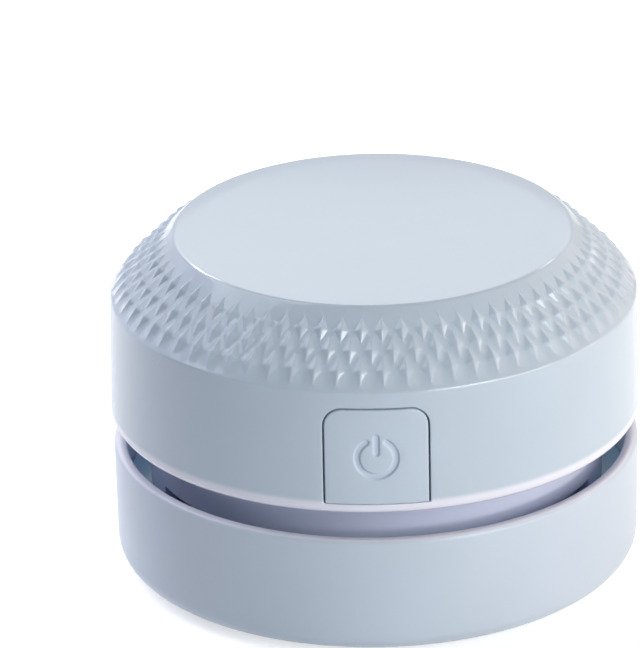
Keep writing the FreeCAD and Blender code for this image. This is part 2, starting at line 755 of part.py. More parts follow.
def fan_impeller():
    """Radial fan: hub, back plate and backward-curved blades below the plate."""
    body = turned("fan_impeller", [
        ("Size.shaft_radius", "Place.blade_low"),
        ("Size.hub_radius", "Place.blade_low"),
        ("Size.hub_radius", "Place.plate_low"),
        ("Place.fan_radius", "Place.plate_low"),
        ("Place.fan_radius", "Place.plate_top"),
        ("Size.hub_radius", "Place.plate_top"),
        ("Size.hub_radius", "Place.hub_top"),
        ("Size.shaft_radius", "Place.hub_top")])
    # A blade's two faces are arcs about one centre, which lies off the shaft.
    sketch = new_sketch(body, "blade_profile", "XY_Plane")
    sketch.AttachmentOffset = FreeCAD.Placement(Vector(0, 0, number("Place.blade_low")), Rotation())
    sketch.setExpression("AttachmentOffset.Base.z", "Place.blade_low")
    bend = number("Size.blade_bend")
    lean = number("Size.blade_lean")
    ends = []
    for reach in (number("Size.blade_root"), number("Place.fan_radius")):
        # Crossing of a circle about the shaft with the blade's arc about (lean, 0).
        along = (reach ** 2 - bend ** 2 + lean ** 2) / (2 * lean)
        ends.append(math.degrees(math.atan2(math.sqrt(reach ** 2 - along ** 2), along - lean)))
    outer_end, inner_end = sorted(math.radians(angle) for angle in ends)
    half = number("Size.blade_thickness") / 2
    for radius in (bend - half, bend + half):
        circle = Part.Circle(Vector(lean, 0, 0), Vector(0, 0, 1), radius)
        sketch.addGeometry(Part.ArcOfCircle(circle, outer_end, inner_end))
    for side in (1, 2):
        points = [sketch.getPoint(arc, side) for arc in (0, 1)]
        line = sketch.addGeometry(Part.LineSegment(*points))
        sketch.addConstraint(Sketcher.Constraint("Coincident", 0, side, line, 1))
        sketch.addConstraint(Sketcher.Constraint("Coincident", 1, side, line, 2))
    sketch.addConstraint(Sketcher.Constraint("Coincident", 0, 3, 1, 3))
    sketch.addConstraint(Sketcher.Constraint("PointOnObject", 0, 3, -1))
    constrain(sketch, "DistanceX", -1, 1, 0, 3, expression="Size.blade_lean")
    constrain(sketch, "Radius", 0, expression="Size.blade_bend - Size.blade_thickness / 2")
    constrain(sketch, "Radius", 1, expression="Size.blade_bend + Size.blade_thickness / 2")
    for side, limit in ((1, "Place.fan_radius"), (2, "Size.blade_root")):
        circle = sketch.addGeometry(Part.Circle(Vector(), Vector(0, 0, 1), number(limit)), True)
        sketch.addConstraint(Sketcher.Constraint("Coincident", circle, 3, -1, 1))
        constrain(sketch, "Radius", circle, expression=limit)
        for arc in (0, 1):
            sketch.addConstraint(Sketcher.Constraint("PointOnObject", arc, side, circle))
    blade = body.newObject("PartDesign::Pad", "blade")
    blade.Profile = sketch
    blade.setExpression("Length", "Place.blade_height")
    doc.recompute()
    pattern = body.newObject("PartDesign::PolarPattern", "blades")
    pattern.Originals = [blade]
    pattern.Axis = (sketch, ["N_Axis"])
    pattern.Angle = 360
    pattern.setExpression("Occurrences", "Size.blade_count")
    body.Tip = pattern
    return body


def motor_shaft():
    return rod("motor_shaft", "Size.shaft_radius", "Place.blade_low", "Place.shaft_top")


def motor_outline(name, radius, half_width, low, high):
    """Round motor with two flat sides."""
    flats = block(name + "_flats", around(half_width), around(radius), (low, high))
    return common(name, rod(name + "_round", radius, low, high), flats)


def motor_can():
    """Steel can, open at the top, with a nose that holds the front bush."""
    outer = motor_outline("can_outer", "Size.motor_radius", "Size.motor_half_width",
                          "Place.deck_top", "Place.can_top")
    inner = motor_outline("can_inner", "Place.can_bore", "Place.can_half_bore",
                          "Place.deck_top + Size.can_wall", "Place.can_top")
    nose = rod("can_nose", "Size.nose_radius", "Place.nose_low", "Place.deck_top")
    bore = rod("can_nose_bore", "Size.bush_radius", "Place.nose_low", "Place.can_top")
    return cut("motor_can", fuse("can_blank", outer, nose), inner, bore)


def motor_end_cap(terminals):
    """Plastic cap in the can's open end, with the rear bush and the terminals in it."""
    plug = motor_outline("end_cap_plug", "Place.can_bore", "Place.can_half_bore",
                         "Place.end_cap_low", "Place.motor_top")
    bore = rod("end_cap_bore", "Size.bush_radius", "Place.end_cap_low", "Place.motor_top")
    return cut("motor_end_cap", plug, bore, terminals)


def motor_bushes():
    front_top = "Place.nose_low + Size.bush_length"
    return group("motor_bushes",
                 ring("front_bush", "Place.bush_bore", "Size.bush_radius", "Place.nose_low", front_top),
                 ring("rear_bush", "Place.bush_bore", "Size.bush_radius",
                      "Place.rear_bush_low", "Place.motor_top"))


def motor_magnets():
    """Two curved magnets on the can's round sides."""
    magnets = [sector(f"magnet_{index}", "Place.magnet_bore", "Place.can_bore",
                      "Place.coil_low", "Place.coil_top", azimuth, "Size.magnet_span")
               for index, azimuth in enumerate((90, 270))]
    return group("motor_magnets", *magnets)


def armature_core():
    """Three-pole core."""
    hub = rod("core_hub", "Size.core_hub_radius", "Place.core_low", "Place.core_top")
    shoes = []
    for index, azimuth in enumerate(spaced(3)):
        shoes.append(sector(f"pole_shoe_{index}", "Place.shoe_bore", "Place.core_radius",
                            "Place.core_low", "Place.core_top", azimuth, "Size.pole_span"))
        stem = block(f"pole_stem_{index}", ("0", "Place.shoe_bore + Size.pole_shoe / 2"),
                     around("Size.pole_stem / 2"), ("Place.core_low", "Place.core_top"))
        shoes.append(turn(group(f"pole_stem_side_{index}", stem), azimuth))
    bore = rod("core_bore", "Size.shaft_radius", "Place.core_low", "Place.core_top")
    return cut("armature_core", fuse("core_blank", hub, *shoes), bore)


def armature_windings(core):
    """One coil round each pole's stem."""
    coils = []
    for index, azimuth in enumerate(spaced(3)):
        coil = block(f"coil_{index}", ("Size.core_hub_radius + Size.air_gap", "Place.shoe_bore"),
                     around("Size.coil_width / 2"), ("Place.coil_low", "Place.coil_top"))
        coils.append(cut(f"coil_wound_{index}", turn(group(f"coil_side_{index}", coil), azimuth), core))
    return group("armature_windings", *coils)


def commutator():
    return ring("commutator", "Size.shaft_radius", "Size.commutator_radius",
                "Place.commutator_low", "Place.commutator_top")


def motor_brushes():
    """Two leaves that hang from the end cap beside the commutator."""
    near = "Size.commutator_radius + Size.shaft_clearance * 3"
    leaves = []
    for index, azimuth in enumerate((90, 270)):
        leaf = block(f"leaf_{index}", (near, f"{near} + Size.brush_leaf"),
                     around("Size.brush_leaf_width / 2"),
                     ("Place.end_cap_low - Size.brush_leaf_length", "Place.end_cap_low"))
        leaves.append(turn(group(f"leaf_side_{index}", leaf), azimuth))
    return group("motor_brushes", *leaves)


def terminal_blocks():
    """The two tabs that stick out of the motor's flat sides, just above the can."""
    root = "Place.can_half_bore - Size.can_lip"
    tip = "Size.motor_half_width + Size.terminal_reach"
    rise = ("Place.can_top", "Place.can_top + Size.terminal_thickness")
    return [block("terminal_right", (root, tip), around("Size.terminal_width / 2"), rise),
            block("terminal_left", (f"-({tip})", f"-({root})"), around("Size.terminal_width / 2"), rise)]


# ---- top shell, chassis and electrics ----

def panel_sketch(name, margin):
    """Button outline seen from the front: square below, rounded above, grown by a margin."""
    sketch = doc.addObject("Sketcher::SketchObject", name)
    sketch.Placement = FreeCAD.Placement(Vector(), Rotation(Vector(1, 0, 0), 90))
    half = number("Size.button_width") / 2 + number(margin)
    low = number("Place.button_low") - number(margin)
    high = number("Place.button_top") + number(margin)
    round_radius = number("Size.button_corner") + number(margin)
    shoulder = high - round_radius
    inset = half - round_radius
    up = Vector(0, 0, 1)
    sketch.addGeometry(Part.LineSegment(Vector(-half, low, 0), Vector(half, low, 0)))
    sketch.addGeometry(Part.LineSegment(Vector(half, low, 0), Vector(half, shoulder, 0)))
    right = Part.Circle(Vector(inset, shoulder, 0), up, round_radius)
    sketch.addGeometry(Part.ArcOfCircle(right, 0, math.pi / 2))
    sketch.addGeometry(Part.LineSegment(Vector(inset, high, 0), Vector(-inset, high, 0)))
    left = Part.Circle(Vector(-inset, shoulder, 0), up, round_radius)
    sketch.addGeometry(Part.ArcOfCircle(left, math.pi / 2, math.pi))
    sketch.addGeometry(Part.LineSegment(Vector(-half, shoulder, 0), Vector(-half, low, 0)))
    for first, second in ((0, 1), (5, 0)):
        sketch.addConstraint(Sketcher.Constraint("Coincident", first, 2, second, 1))
    for first, second in ((1, 2), (2, 3), (3, 4), (4, 5)):
        sketch.addConstraint(Sketcher.Constraint("Tangent", first, 2, second, 1))
    for line, kind in ((1, "Vertical"), (5, "Vertical"), (3, "Horizontal")):
        sketch.addConstraint(Sketcher.Constraint(kind, line))
    sketch.addConstraint(Sketcher.Constraint("Equal", 2, 4))
    sketch.addConstraint(Sketcher.Constraint("Symmetric", 0, 1, 0, 2, -2))
    constrain(sketch, "Radius", 2, expression=f"Size.button_corner + {margin}")
    constrain(sketch, "DistanceX", 0, 1, 0, 2, expression=f"Size.button_width + 2 * ({margin})")
    constrain(sketch, "DistanceY", -1, 1, 0, 1, expression=f"Place.button_low - ({margin})")
    constrain(sketch, "DistanceY", 0, 2, 3, 1, expression=f"Size.button_height + 2 * ({margin})")
    return sketch


def panel_prism(name, margin):
    """The button outline carried through the front wall."""
    item = doc.addObject("Part::Extrusion", name)
    item.Base = panel_sketch(name + "_outline", margin)
    item.DirMode = "Custom"
    item.Dir = Vector(0, -1, 0)
    item.Solid = True
    item.setExpression("LengthFwd", f"Place.wall_low_radius + {BEYOND}")
    item.setExpression("LengthRev", "-Place.panel_root")
    return item


def rounded_bar(name, width, height, low, high):
    """Bar along Y with round sides, on the charging socket's axis, from y = low to y = high."""
    radius = f"({height}) / 2"
    straight = f"(({width}) / 2 - {radius})"
    rounds = [cross_rod(f"{name}_{side}", radius, f"-({high})", f"-({low})",
                        f"{sign} * {straight}", "Place.socket_place")
              for side, sign in both_sides()]
    middle = block(name + "_middle", around(straight), (low, high),
                   (f"Place.socket_place - {radius}", f"Place.socket_place + {radius}"))
    return fuse(name, middle, *rounds)


def knurl_tooth(along, width, length):
    """Four-sided pyramid on the shell's cone, at a distance along the slope from its base."""
    rise = number("Size.knurl_rise")
    root = number("Size.knurl_root")
    slope = Vector(-number("Place.cone_run"), 0, number("Size.cone_height")).normalize()
    outward = Vector(number("Size.cone_height"), 0, number("Place.cone_run")).normalize()
    sideways = Vector(0, 1, 0)
    middle = Vector(number("Place.shoulder_radius"), 0, number("Place.cone_low")) + slope * along
    spread = (rise + root) / rise / 2
    foot = middle - outward * root
    corners = [foot - slope * (length * spread), foot + sideways * (width * spread),
               foot + slope * (length * spread), foot - sideways * (width * spread)]
    peak = middle + outward * rise
    faces = [Part.Face(Part.makePolygon(corners + corners[:1]))]
    for first, second in zip(corners, corners[1:] + corners[:1]):
        faces.append(Part.Face(Part.makePolygon([first, second, peak, first])))
    return Part.Solid(Part.Shell(faces))


def knurl_row_radius(along):
    return number("Place.shoulder_radius") - along * number("Place.cone_run / Place.cone_length")


def knurl_teeth():
    """Rows of pyramids that shrink with their circles; every second row stands between its neighbours."""
    total = count("knurl_count")
    start = number("Size.knurl_start")
    teeth = []
    for row in range(count("knurl_rows")):
        along = start + row * number("Place.knurl_step")
        shrink = knurl_row_radius(along) / knurl_row_radius(start)
        tooth = knurl_tooth(along, number("Size.knurl_width") * shrink, number("Place.knurl_length") * shrink)
        first = FRONT + number("Size.knurl_turn") + (0.0 if row % 2 else 180.0 / total)
        for azimuth in spaced(total, first):
            teeth.append(tooth.rotated(Vector(), Vector(0, 0, 1), azimuth))
    return teeth


def top_shell():
    """Wall, knurled cone and flat top in one piece, with bosses for the screws from below."""
    shell = turned("shell_turned", [
        ("0", "Place.ceiling"),
        ("Place.ceiling_radius", "Place.ceiling"),
        ("Place.shoulder_bore", "Place.inner_shoulder"),
        ("Place.wall_bore", "Place.wall_low"),
        ("Place.wall_low_radius", "Place.wall_low"),
        ("Place.shoulder_radius", "Place.cone_low"),
        ("Size.top_radius", "Place.shell_top"),
        ("0", "Place.shell_top")])
    round_circles(shell, "Size.wall_low_round", ("Place.wall_low_radius", "Place.wall_low"))
    round_circles(shell, "Size.shoulder_round", ("Place.shoulder_radius", "Place.cone_low"))
    round_circles(shell, "Size.top_round", ("Size.top_radius", "Place.shell_top"))
    boss_top = "Place.ceiling + Size.shell_boss_root"
    boss_rods = [rod(f"shell_boss_{index}", "Size.shell_boss_radius", "Place.chassis_top", boss_top, x, y)
                 for index, (x, y) in enumerate(body_sites())]
    # The bosses end a little way inside the cone and the top.
    inside = turned("shell_inside", [
        ("0", "Place.wall_low"),
        ("Place.wall_bore", "Place.wall_low"),
        ("Place.shoulder_bore + Size.shell_boss_root", "Place.inner_shoulder"),
        ("Place.ceiling_radius", boss_top),
        ("0", boss_top)])
    bosses = common("shell_bosses", fuse("shell_boss_rods", *boss_rods), inside)
    pilot_top = "Place.deck_low + Size.body_screw_length + Size.screw_tip_gap"
    pilots = [rod(f"shell_pilot_{index}", "Size.screw_radius", "Place.chassis_top", pilot_top, x, y)
              for index, (x, y) in enumerate(body_sites())]
    socket_opening = rounded_bar("socket_opening", "Size.socket_width + 2 * Size.socket_clearance",
                                 "Size.socket_height + 2 * Size.socket_clearance",
                                 "Place.charge_board_rear", f"Place.wall_low_radius + {BEYOND}")
    blank = cut("shell_blank", fuse("shell_with_bosses", shell, bosses),
                panel_prism("button_opening", "Size.button_gap"), socket_opening, *pilots)
    doc.recompute()
    item = doc.addObject("Part::Feature", "top_shell")
    item.Shape = blank.Shape.fuse(knurl_teeth())
    return item


def both_sides():
    return (("right", 1), ("left", -1))


def chassis():
    """Round floor with posts and with walls for the cells and the two boards."""
    upright = "Place.chassis_top"
    wall_top = "Place.chassis_top + Size.end_wall_height"
    wall_x = around("Size.end_wall_width / 2")
    plate = rod("chassis_plate", "Place.chassis_radius", "Place.wall_low", upright)
    pieces = [plate,
              block("front_wall", wall_x, ("-Place.end_wall_outer", "-Place.end_wall_inner"),
                    (upright, wall_top)),
              block("rear_wall", wall_x, ("Place.end_wall_inner", "Place.end_wall_outer"),
                    (upright, wall_top))]
    for side, sign in both_sides():
        near, far = f"{sign} * Place.divider_inner", f"{sign} * Place.divider_outer"
        across = (near, far) if sign > 0 else (far, near)
        pieces.append(block(f"divider_{side}", across, around("Size.divider_length / 2"),
                            (upright, "Place.chassis_top + Size.divider_height")))
        outer = f"{sign} * (Place.cell_place + Size.cell_radius)"
        inner = f"{sign} * Place.divider_outer"
        across = (inner, outer) if sign > 0 else (outer, inner)
        for row in (-1, 1):
            middle = f"{row} * Size.cradle_place"
            pieces.append(block(f"cradle_{side}_{row + 1}", across,
                                (f"{middle} - Size.cradle_width / 2", f"{middle} + Size.cradle_width / 2"),
                                (upright, "Place.chassis_top + Size.cradle_height")))
        board_x = f"{sign} * Size.board_screw_x"
        pieces.append(cross_rod(f"board_boss_{side}", "Size.board_boss_radius",
                                "Place.end_wall_inner - Size.board_boss_length",
                                "Place.end_wall_inner", board_x, "Place.board_screw_height"))
        pieces.append(rod(f"clamp_post_{side}", "Size.post_radius", upright, "Place.motor_top",
                          y=f"{sign} * Size.post_place"))
        pieces.append(rod(f"charge_post_{side}", "Size.board_boss_radius", upright,
                          "Place.charge_board_low", f"{sign} * Size.charge_screw_x",
                          "Place.charge_screw_place"))
    tools = [block("motor_hole", around("Place.divider_inner"),
                   around("Size.motor_radius + Size.rib_clearance"), ("Place.wall_low", upright)),
             block("solder_window", around("Size.switch_size / 2"),
                   ("-Place.end_wall_outer", "-Place.end_wall_inner"),
                   ("Place.symbol_place - Size.switch_size / 2",
                    "Place.symbol_place + Size.switch_size / 2"))]
    for side, sign in both_sides():
        tools.append(cross_rod(f"cell_space_{side}", "Size.cell_radius + Size.cell_clearance",
                               "-Place.end_wall_inner", "Place.end_wall_inner",
                               f"{sign} * Place.cell_place", "Place.cell_axis"))
        tools.append(cross_rod(f"board_pilot_{side}", "Size.small_screw_radius",
                               "Place.board_front - Size.board_screw_length - Size.screw_tip_gap",
                               "Place.end_wall_outer",
                               f"{sign} * Size.board_screw_x", "Place.board_screw_height"))
        tools.append(rod(f"clamp_pilot_{side}", "Size.screw_radius",
                         "Place.clamp_top - Size.clamp_screw_length - Size.screw_tip_gap",
                         "Place.motor_top", y=f"{sign} * Size.post_place"))
        tools.append(rod(f"charge_pilot_{side}", "Size.small_screw_radius",
                         "Place.socket_low - Size.board_screw_length - Size.screw_tip_gap",
                         "Place.charge_board_low", f"{sign} * Size.charge_screw_x",
                         "Place.charge_screw_place"))
    tools += [rod(f"chassis_hole_{index}", "Place.screw_clear_radius", "Place.wall_low", upright, x, y)
              for index, (x, y) in enumerate(body_sites())]
    return cut("chassis", fuse("chassis_blank", *pieces), *tools)


def body_screws():
    """Screws from under the motor deck, through the chassis into the shell's bosses."""
    sites = [(x, y, "Place.deck_low") for x, y in body_sites()]
    return fastened("body_screws", "Size.screw_radius", "Size.body_screw_length",
                    "Size.head_radius", sites, UPSIDE_DOWN)


def battery_cells():
    """Two cells side by side, head to tail; the right one points to the front."""
    cells = []
    half = "Place.cell_length / 2"
    for side, sign in both_sides():
        can = cross_rod(f"cell_can_{side}", "Size.cell_radius", f"-{half}", f"{half} - Size.nub_length",
                        "Place.cell_place", "Place.cell_axis")
        nub = cross_rod(f"cell_nub_{side}", "Size.nub_radius", f"{half} - Size.nub_length", half,
                        "Place.cell_place", "Place.cell_axis")
        cell = fuse(f"cell_{side}", can, nub)
        cells.append(cell if sign > 0 else turn(cell, 180))
    return group("battery_cells", *cells)


def cell_strips():
    """Strips welded to the cells: an upright one at each front end and a link across the rear."""
    near = "Place.cell_length / 2"
    far = "(Place.cell_length / 2 + Size.strip_thickness)"
    half = "Size.strip_width / 2"
    low = f"Place.cell_axis - {half}"
    strips = [block(f"strip_{side}",
                    (f"{sign} * Place.cell_place - {half}", f"{sign} * Place.cell_place + {half}"),
                    (f"-{far}", f"-{near}"), (low, "Place.strip_top"))
              for side, sign in both_sides()]
    strips.append(block("strip_link", around(f"Place.cell_place + {half}"), (near, far),
                        (low, f"Place.cell_axis + {half}")))
    return group("cell_strips", *strips)


def charge_board():
    """Small board on two posts behind the cells; the socket stands on it."""
    plate = block("charge_plate", around("Size.charge_board_width / 2"),
                  ("Place.charge_board_front", "Place.charge_board_rear"),
                  ("Place.charge_board_low", "Place.socket_low"))
    holes = [rod(f"charge_hole_{side}", "Place.small_screw_clear", "Place.charge_board_low",
                 "Place.socket_low", f"{sign} * Size.charge_screw_x", "Place.charge_screw_place")
             for side, sign in both_sides()]
    return cut("charge_board", plate, *holes)


def sleeve_bore(name, low, high):
    """The space inside the charging socket's sleeve, between two depths."""
    return rounded_bar(name, "Size.socket_width - 2 * Size.socket_wall",
                       "Size.socket_height - 2 * Size.socket_wall", low, high)


def charge_socket():
    """Steel sleeve of the charging socket, open at both ends."""
    sleeve = rounded_bar("sleeve_outer", "Size.socket_width", "Size.socket_height",
                         "Place.socket_back", "Place.socket_mouth")
    inside = sleeve_bore("sleeve_inner", "Place.socket_back", "Place.socket_mouth")
    return cut("charge_socket", sleeve, inside)


def socket_tongue():
    """Plastic plug in the sleeve's inner end, with the tongue that carries the contacts."""
    plug_end = "Place.socket_back + Size.socket_back_wall"
    half = "Size.tongue_thickness / 2"
    blade = block("tongue_blade", around("Size.tongue_width / 2"),
                  ("Place.socket_back", f"{plug_end} + Size.tongue_length"),
                  (f"Place.socket_place - {half}", f"Place.socket_place + {half}"))
    return fuse("socket_tongue", sleeve_bore("tongue_plug", "Place.socket_back", plug_end), blade)


def switch_pin_sites():
    """Two rows of three legs, as (x, z) expressions."""
    return [(f"{row} * Size.pin_pitch", f"Place.symbol_place + {column} * Size.pin_pitch")
            for row in (-1, 1) for column in (-1, 0, 1)]


def switch_pins():
    pins = [cross_rod(f"switch_pin_{index}", "Size.pin_radius", "Place.board_front - Size.pin_length",
                      "Place.board_front", x, z)
            for index, (x, z) in enumerate(switch_pin_sites())]
    return group("switch_pins", *pins)


def circuit_board(pins):
    """Board on the front wall of the chassis, with holes for the switch's legs and two screws."""
    plate = block("board_plate", around("Size.board_width / 2"),
                  ("-Place.board_front", "-Place.board_back"),
                  ("Place.chassis_top", "Place.chassis_top + Size.board_height"))
    holes = [cross_rod(f"board_hole_{side}", "Place.small_screw_clear", "Place.board_back",
                       "Place.board_front", f"{sign} * Size.board_screw_x", "Place.board_screw_height")
             for side, sign in both_sides()]
    return cut("circuit_board", plate, pins, *holes)


def board_screws():
    """Two screws in each of the two boards."""
    sizes = ("Size.small_screw_radius", "Size.board_screw_length", "Size.small_head_radius")
    front_sites = [(f"{sign} * Size.board_screw_x", "-Place.board_front", "Place.board_screw_height")
                   for side, sign in both_sides()]
    charge_sites = [(f"{sign} * Size.charge_screw_x", "Place.charge_screw_place", "Place.socket_low")
                    for side, sign in both_sides()]
    return group("board_screws", fastened("front_board_screws", *sizes, front_sites, FORWARD),
                 fastened("charge_board_screws", *sizes, charge_sites))


def square_along_y(name, side_length, back, front):
    """Square bar along Y at the height of the symbol, from y = -front to y = -back."""
    half = f"({side_length}) / 2"
    return block(name, around(half), (f"-({front})", f"-({back})"),
                 (f"Place.symbol_place - {half}", f"Place.symbol_place + {half}"))


def switch_body():
    """Push switch: a hollow block with a square hole for the plunger."""
    cavity = "Size.plunger_head + 2 * Size.plunger_clearance"
    hole = "Size.plunger_size + 2 * Size.plunger_clearance"
    return cut("switch_body",
               square_along_y("switch_block", "Size.switch_size", "Place.board_front", "Place.switch_front"),
               square_along_y("switch_cavity", cavity, "Place.board_front + Size.switch_wall",
                              "Place.switch_front - Size.switch_wall"),
               square_along_y("switch_mouth", hole, "Place.board_front + Size.switch_wall",
                              "Place.switch_front"))


def switch_plunger():
    """Plunger with a head that the switch holds captive."""
    head_front = "Place.switch_front - Size.switch_wall - Size.switch_play"
    return fuse("switch_plunger",
                square_along_y("plunger_bar", "Size.plunger_size", head_front, "Place.plunger_tip"),
                square_along_y("plunger_head", "Size.plunger_head",
                               f"{head_front} - Size.plunger_head_length", head_front))


def wall_shell(name, outer_inset, inner_inset):
    """Shell that follows the unit's wall between two depths under its surface."""
    return turned(name, [
        (f"Place.wall_low_radius - {inner_inset}", "Place.wall_low"),
        (f"Place.wall_low_radius - {outer_inset}", "Place.wall_low"),
        (f"Place.shoulder_radius - {outer_inset}", "Place.cone_low"),
        (f"Place.shoulder_radius - {inner_inset}", "Place.cone_low")])


def symbol_tool():
    """Power sign as a cutting tool: an open ring and a bar, both with round ends."""
    depth_shell = wall_shell("symbol_depth_shell", f"(-{BEYOND})", "Size.symbol_depth")
    back, front = "Place.stem_root", f"Place.wall_low_radius + {BEYOND}"
    centre = "Place.symbol_place"
    half_line = "Size.symbol_line / 2"
    loop = cut("symbol_loop",
               cross_rod("symbol_disc", "Size.symbol_radius", back, front, z=centre),
               cross_rod("symbol_hole", "Size.symbol_radius - Size.symbol_line", back, front, z=centre))
    # The loop is cut back by a round end on each side of the opening.
    opening = cross_rod("symbol_opening", "Size.symbol_radius * 2", back, front, z=centre)
    opening.setExpression("Angle", "Place.symbol_cut")
    start = 90 - number("Place.symbol_cut") / 2
    opening.Placement.Rotation = Rotation(Vector(1, 0, 0), 90).multiply(Rotation(Vector(0, 0, 1), start))
    half_angle = math.radians(number("Place.symbol_cut") / 2)
    tips = [cross_rod(f"symbol_tip_{index}", half_line, back, front,
                      f"{sign} * Place.symbol_mean * {math.sin(half_angle):.9f}",
                      f"{centre} + Place.symbol_mean * {math.cos(half_angle):.9f}")
            for index, sign in enumerate((-1, 1))]
    bar_low = f"{centre} + Size.symbol_bar_foot + {half_line}"
    bar_high = f"{centre} + Size.symbol_bar_rise - {half_line}"
    bar = block("symbol_bar", around(half_line), (f"-({front})", f"-{back}"), (bar_low, bar_high))
    bar_ends = [cross_rod(f"symbol_bar_end_{index}", half_line, back, front, z=height)
                for index, height in enumerate((bar_low, bar_high))]
    sign = fuse("symbol_sign", cut("symbol_arc", loop, opening), *tips, bar, *bar_ends)
    return common("symbol_cut", sign, depth_shell)


def power_button():
    """Panel flush with the wall, a flange behind it and a stem for the plunger."""
    panel = common("button_panel", panel_prism("panel_prism", "0"),
                   wall_shell("panel_shell", "0", "Place.flange_back"))
    flange = common("button_flange", panel_prism("flange_prism", "Size.flange_margin"),
                    wall_shell("flange_shell", "Place.flange_face", "Place.flange_back"))
    room = block("flange_room", around("Size.button_width"), ("-Place.wall_low_radius", "0"),
                 ("Place.chassis_top + Size.flange_gap", "Place.inner_shoulder - Size.flange_gap"))
    seated = common("button_flange_seated", flange, room)
    stem = square_along_y("button_stem", "Size.stem_size", "Place.stem_end",
                          "Place.stem_root + Size.flange_thickness / 2")
    socket = square_along_y("button_socket", "Size.plunger_size", "Place.stem_end", "Place.plunger_tip")
    return cut("power_button", fuse("button_blank", panel, seated, stem), socket, symbol_tool())


def motor_clamp():
    """Bar over the motor's end, screwed to the two posts."""
    half = "Size.post_place + Size.clamp_overhang"
    bar = block("clamp_bar", around("Size.clamp_width / 2"), around(half),
                ("Place.motor_top", "Place.clamp_top"))
    holes = [rod(f"clamp_hole_{side}", "Place.screw_clear_radius", "Place.motor_top", "Place.clamp_top",
                 y=f"{sign} * Size.post_place")
             for side, sign in both_sides()]
    return cut("motor_clamp", bar, *holes)


def clamp_screws():
    sites = [("0", f"{sign} * Size.post_place", "Place.clamp_top") for side, sign in both_sides()]
    return fastened("clamp_screws", "Size.screw_radius", "Size.clamp_screw_length", "Size.head_radius", sites)


def lead(name, points):
    """Insulated wire: straight runs joined by arcs that start 0.45 of a run from each corner."""
    reach = 0.45
    edges = []
    here = points[0]
    for before, corner, after in zip(points, points[1:], points[2:]):
        back = (before - corner).normalize()
        onward = (after - corner).normalize()
        trim = reach * min((before - corner).Length, (after - corner).Length)
        start = corner + back * trim
        end = corner + onward * trim
        turn_angle = math.pi - back.getAngle(onward)
        radius = trim / math.tan(turn_angle / 2)
        centre = corner + (back + onward).normalize() * (radius / math.cos(turn_angle / 2))
        middle = centre + (corner - centre).normalize() * radius
        edges.append(Part.LineSegment(here, start).toShape())
        edges.append(Part.Arc(start, middle, end).toShape())
        print(f"{name}: bend of radius {radius:.1f}")
        here = end
    edges.append(Part.LineSegment(here, points[-1]).toShape())
    path = Part.Wire(edges)
    wire = number("Size.lead_radius")
    section = Part.Wire(Part.makeCircle(wire, points[0], points[1] - points[0]))
    item = doc.addObject("Part::Feature", name)
    item.Shape = path.makePipeShell([section], True, False)
    expected = math.pi * wire ** 2 * path.Length
    print(f"{name}: volume over section and length {item.Shape.Volume / expected:.4f}")
    return item


def lead_pair(name, points):
    """Two wires, the left one a mirror image of the right one."""
    mirrored = [Vector(-point.x, point.y, point.z) for point in points]
    return group(name, lead(name + "_right", points), lead(name + "_left", mirrored))


def board_pad(alias):
    """Place on the main board's top edge where a wire ends."""
    return Vector(number(f"Size.{alias}"), -number("(Place.board_front + Place.board_back) / 2"),
                  number("Place.chassis_top + Size.board_height"))


def battery_leads():
    """Arches of half an octagon from the cells' front strips to the board."""
    strip = Vector(number("Place.cell_place"), -number("(Place.cell_length + Size.strip_thickness) / 2"),
                   number("Place.strip_top"))
    pad = board_pad("battery_pad_x")
    across = Vector(pad.x - strip.x, pad.y - strip.y, 0)
    side = across.Length * (math.sqrt(2) - 1)
    corner = across.Length * (1 - math.sqrt(0.5))
    share = 1 - math.sqrt(0.5)
    low = Vector(0, 0, side)
    high = Vector(0, 0, side + corner)
    return lead_pair("battery_leads", [
        strip, strip + low, strip + across * share + high, strip + across * (1 - share) + high,
        strip + across + low, pad])


def motor_leads():
    """Wires from the motor's tabs, over the clamp's sides, to the board."""
    tab = Vector(number("Size.motor_half_width + Size.terminal_reach / 2"), 0,
                 number("Place.can_top + Size.terminal_thickness"))
    pad = board_pad("motor_pad_x")
    return lead_pair("motor_leads", [
        tab, tab + Vector(0, 0, 4.1), tab + Vector(-0.3, -3.0, 6.6), tab + Vector(-1.4, -9.6, 6.4),
        tab + Vector(-3.4, -16.6, 4.8), pad + Vector(1.6, 4.5, 7.85), pad + Vector(0, 0, 4.25), pad])


def charge_leads():
    """Wires from the charging board, over the cells, to the main board."""
    start = Vector(number("Size.socket_pad_x"), number("Place.charge_screw_place"),
                   number("Place.socket_low"))
    over = Vector(number("Place.cell_place"), 0, number("Place.cell_axis + Size.cell_radius"))
    pad = board_pad("charge_pad_x")
    return lead_pair("charge_leads", [
        start, start + Vector(0, 0, 4.35), start + Vector(1.2, -1.5, 8.3), start + Vector(3.8, -4.3, 11.7),
        over + Vector(-6.85, 23.6, 2.85), over + Vector(-4.05, 16.2, 2.85),
        over + Vector(-3.05, 7.4, 2.25), over + Vector(-3.25, -2.4, 2.45),
        over + Vector(-5.25, -11.0, 3.45), over + Vector(-8.45, -18.0, 4.85),
        pad + Vector(0.8, 3.7, 6.85), pad + Vector(0, 0, 4.25), pad])


# ---- checks and files ----


def check(items):
    """Stop if anything failed to build."""
    for item in doc.Objects:
        if "Invalid" in item.State or "Error" in item.State:
            raise RuntimeError(f"{item.Name} failed: {item.State}")
    for item in items:
        if item.Shape.isNull() or not item.Shape.isValid():
            raise RuntimeError(f"{item.Label} has no valid shape")


